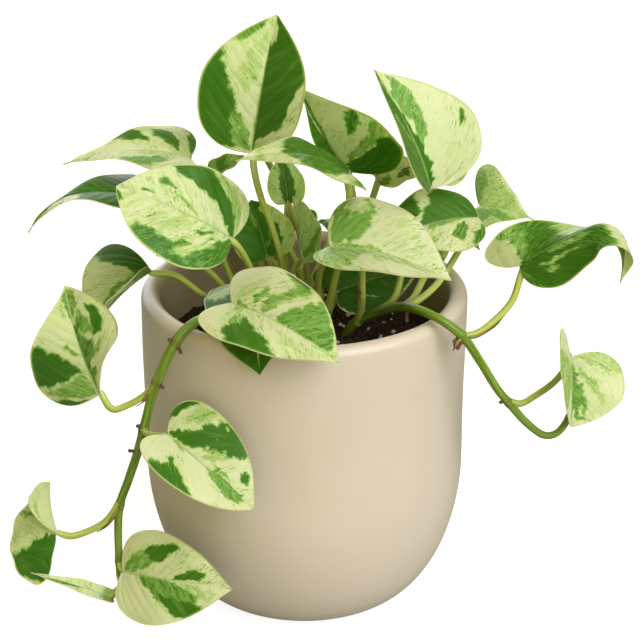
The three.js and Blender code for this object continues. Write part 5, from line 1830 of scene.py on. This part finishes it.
class OBJECT_OT_pothos_soil(Operator):
    """Make the soil with its crumbs and perlite"""
    bl_idname = "pothos.soil"
    bl_label = "Soil"

    def execute(self, context):
        settings = context.scene.pothos_soil
        colour = tuple(settings.colour)
        ground = soil_material("potting_soil", shaded(colour, 1.0), shaded(colour, 3.2))
        body = mesh_piece("potting_soil", *soil_points(), ground)
        outward_faces(body)
        keep_piece(body, "soil", "soil")
        grains = grain_tree()
        reach = inner_radius(SOIL["top"]) - STREWN_MARGIN
        crumbs = strewn_piece("soil_crumbs", grains, reach, {
            "Density": settings.crumbs, "Size": settings.crumb_size, "Spread": 0.65, "Fineness": 1,
            "Sink": 0.0002, "Seed": settings.seed,
            "Material": soil_material("soil_crumb", shaded(colour, 1.3), shaded(colour, 5.0)),
        })
        keep_piece(crumbs, "soil")
        perlite = strewn_piece("perlite_grains", grains, reach, {
            "Density": settings.perlite, "Size": 0.7 * settings.crumb_size, "Spread": 0.55, "Fineness": 2,
            "Sink": 0.0008, "Seed": settings.seed + 3, "Material": perlite_material(),
        })
        keep_piece(perlite, "soil")
        return {"FINISHED"}


class OBJECT_OT_pothos_stems(Operator):
    """Make the six leafy stems and the dry sheaths on them"""
    bl_idname = "pothos.stems"
    bl_label = "Stems"

    def execute(self, context):
        settings = context.scene.pothos_stem
        material = stem_material(tuple(settings.vine), tuple(settings.stalk))
        tree = stem_tree()
        for name, stem in STEMS.items():
            piece = stem_piece(f"vine_{name}", stem, tree, settings, material)
            keep_piece(piece, "stem", f"stem_{name}")
        papery = sheath_material()
        for name, route, radius, open_turn in SHEATHS:
            piece = sheath_piece(name, route, radius, open_turn, papery)
            keep_piece(piece, "stem")
        return {"FINISHED"}


class OBJECT_OT_pothos_blades(Operator):
    """Make the marbled leaf blades"""
    bl_idname = "pothos.blades"
    bl_label = "Blades"

    def execute(self, context):
        settings = context.scene.pothos_blade
        colours = [tuple(c) for c in (settings.cream, settings.pale, settings.mid, settings.dark)]
        material = blade_material(colours, vein_group())
        for seed, name in enumerate(LEAVES, start=1):
            piece = blade_piece(name, settings, material, seed)
            keep_piece(piece, "leaf", f"leaf_{name}")
        return {"FINISHED"}


FRAME_PIXELS, FOCAL_PIXELS = 640, 2320  # width of the picture, and the lens's focal length in its pixels
SENSOR = 36.0
CAMERA_PLACE = (0.0068, -0.9212, 0.5151)
CAMERA_AIM = (0.0068, 0.0, 0.126)
FLOOR_REACH = 6.0
ROOM_COLOUR = (1.0, 0.9, 0.32, 1)
# Each light: the way to it, seen from the plant, its width as a share of the softness, and its colour
LIGHTS = {
    "key": ((0.53, -0.59, 0.61), 1, (0.87, 0.895, 1.0)),
    "top": ((-0.1, -0.15, 0.98), 2, (1.0, 0.94, 0.5)),
    "fill": ((0.1, -0.99, 0.03), 1, (1.0, 0.93, 0.62)),
    "back": ((-0.35, 0.93, 0.12), 1, (0.86, 0.9, 1.0)),
}


def look_along(piece, way):
    piece.rotation_euler = Vector(way).to_track_quat("-Z", "Y").to_euler()


def floor_material(colour, glow):
    """Pale floor that the camera sees almost white, as paper lit from all sides; the plant doesn't."""
    material, tree, shader = new_material("pale_floor", Roughness=0.8, Specular_IOR_Level=0.2)
    noise = noise_at(tree, object_place(tree), 30.0)
    tint = mix_colour(tree, noise, shaded(colour, 1.0), shaded(colour, 0.99))
    tree.links.new(tint, shader.inputs["Base Color"])
    seen = add_node(tree, "ShaderNodeLightPath").outputs["Is Camera Ray"]
    shader.inputs["Emission Color"].default_value = (1, 1, 1, 1)
    tree.links.new(product(tree, seen, glow), shader.inputs["Emission Strength"])
    return material


class OBJECT_OT_pothos_stage(Operator):
    """Make the floor, the studio lights and the camera"""
    bl_idname = "pothos.stage"
    bl_label = "Stage"

    def execute(self, context):
        scene = context.scene
        settings = scene.pothos_stage
        corners = [(x * FLOOR_REACH, y * FLOOR_REACH, 0) for x, y in ((-1, -1), (1, -1), (1, 1), (-1, 1))]
        paper = floor_material(tuple(settings.floor), settings.paper)
        mesh_piece("floor", corners, [(0, 1, 2, 3)], paper)
        for name, (way, width, colour) in LIGHTS.items():
            data = bpy.data.lights.new(name, "SUN")
            data.energy = getattr(settings, name)
            data.angle = width * settings.softness
            data.color = colour
            light = link_object(name, data)
            light.location = way
            look_along(light, -Vector(way))
        scene.world = bpy.data.worlds.new("room")
        scene.world.use_nodes = True
        background = scene.world.node_tree.nodes["Background"]
        background.inputs["Color"].default_value = ROOM_COLOUR
        background.inputs["Strength"].default_value = settings.room
        scene.view_settings.view_transform = "Standard"
        data = bpy.data.cameras.new("camera")
        data.sensor_width = SENSOR
        data.lens = FOCAL_PIXELS / FRAME_PIXELS * SENSOR
        data.clip_start, data.clip_end = 0.05, 20
        scene.camera = link_object("camera", data)
        scene.camera.location = CAMERA_PLACE
        look_along(scene.camera, Vector(CAMERA_AIM) - Vector(CAMERA_PLACE))
        return {"FINISHED"}


OPERATORS = (
    OBJECT_OT_pothos_planter, OBJECT_OT_pothos_soil, OBJECT_OT_pothos_stems, OBJECT_OT_pothos_blades,
    OBJECT_OT_pothos_stage,
)
SETTINGS = {
    "pothos_planter": PlanterSettings,
    "pothos_soil": SoilSettings,
    "pothos_stem": StemSettings,
    "pothos_blade": BladeSettings,
    "pothos_stage": StageSettings,
}


class VIEW3D_PT_pothos(Panel):
    """Lists the steps and sizes of the potted pothos"""
    bl_label = "Potted Pothos"
    bl_space_type = "VIEW_3D"
    bl_region_type = "UI"
    bl_category = "Pothos"

    def draw(self, context):
        for step in OPERATORS:
            self.layout.operator(step.bl_idname)
        for name in SETTINGS:
            box = self.layout.box()
            settings = getattr(context.scene, name)
            for key in settings.bl_rna.properties.keys():
                if key not in ("rna_type", "name"):
                    box.prop(settings, key)


CLASSES = (*SETTINGS.values(), *OPERATORS, VIEW3D_PT_pothos)


def register():
    for made in CLASSES:
        bpy.utils.register_class(made)
    for name, made in SETTINGS.items():
        setattr(bpy.types.Scene, name, PointerProperty(type=made))


def unregister():
    for name in SETTINGS:
        delattr(bpy.types.Scene, name)
    for made in reversed(CLASSES):
        bpy.utils.unregister_class(made)


def main():
    register()
    bpy.ops.pothos.planter()
    bpy.ops.pothos.soil()
    bpy.ops.pothos.stems()
    bpy.ops.pothos.blades()
    bpy.ops.pothos.stage()


if __name__ == "__main__":
    main()
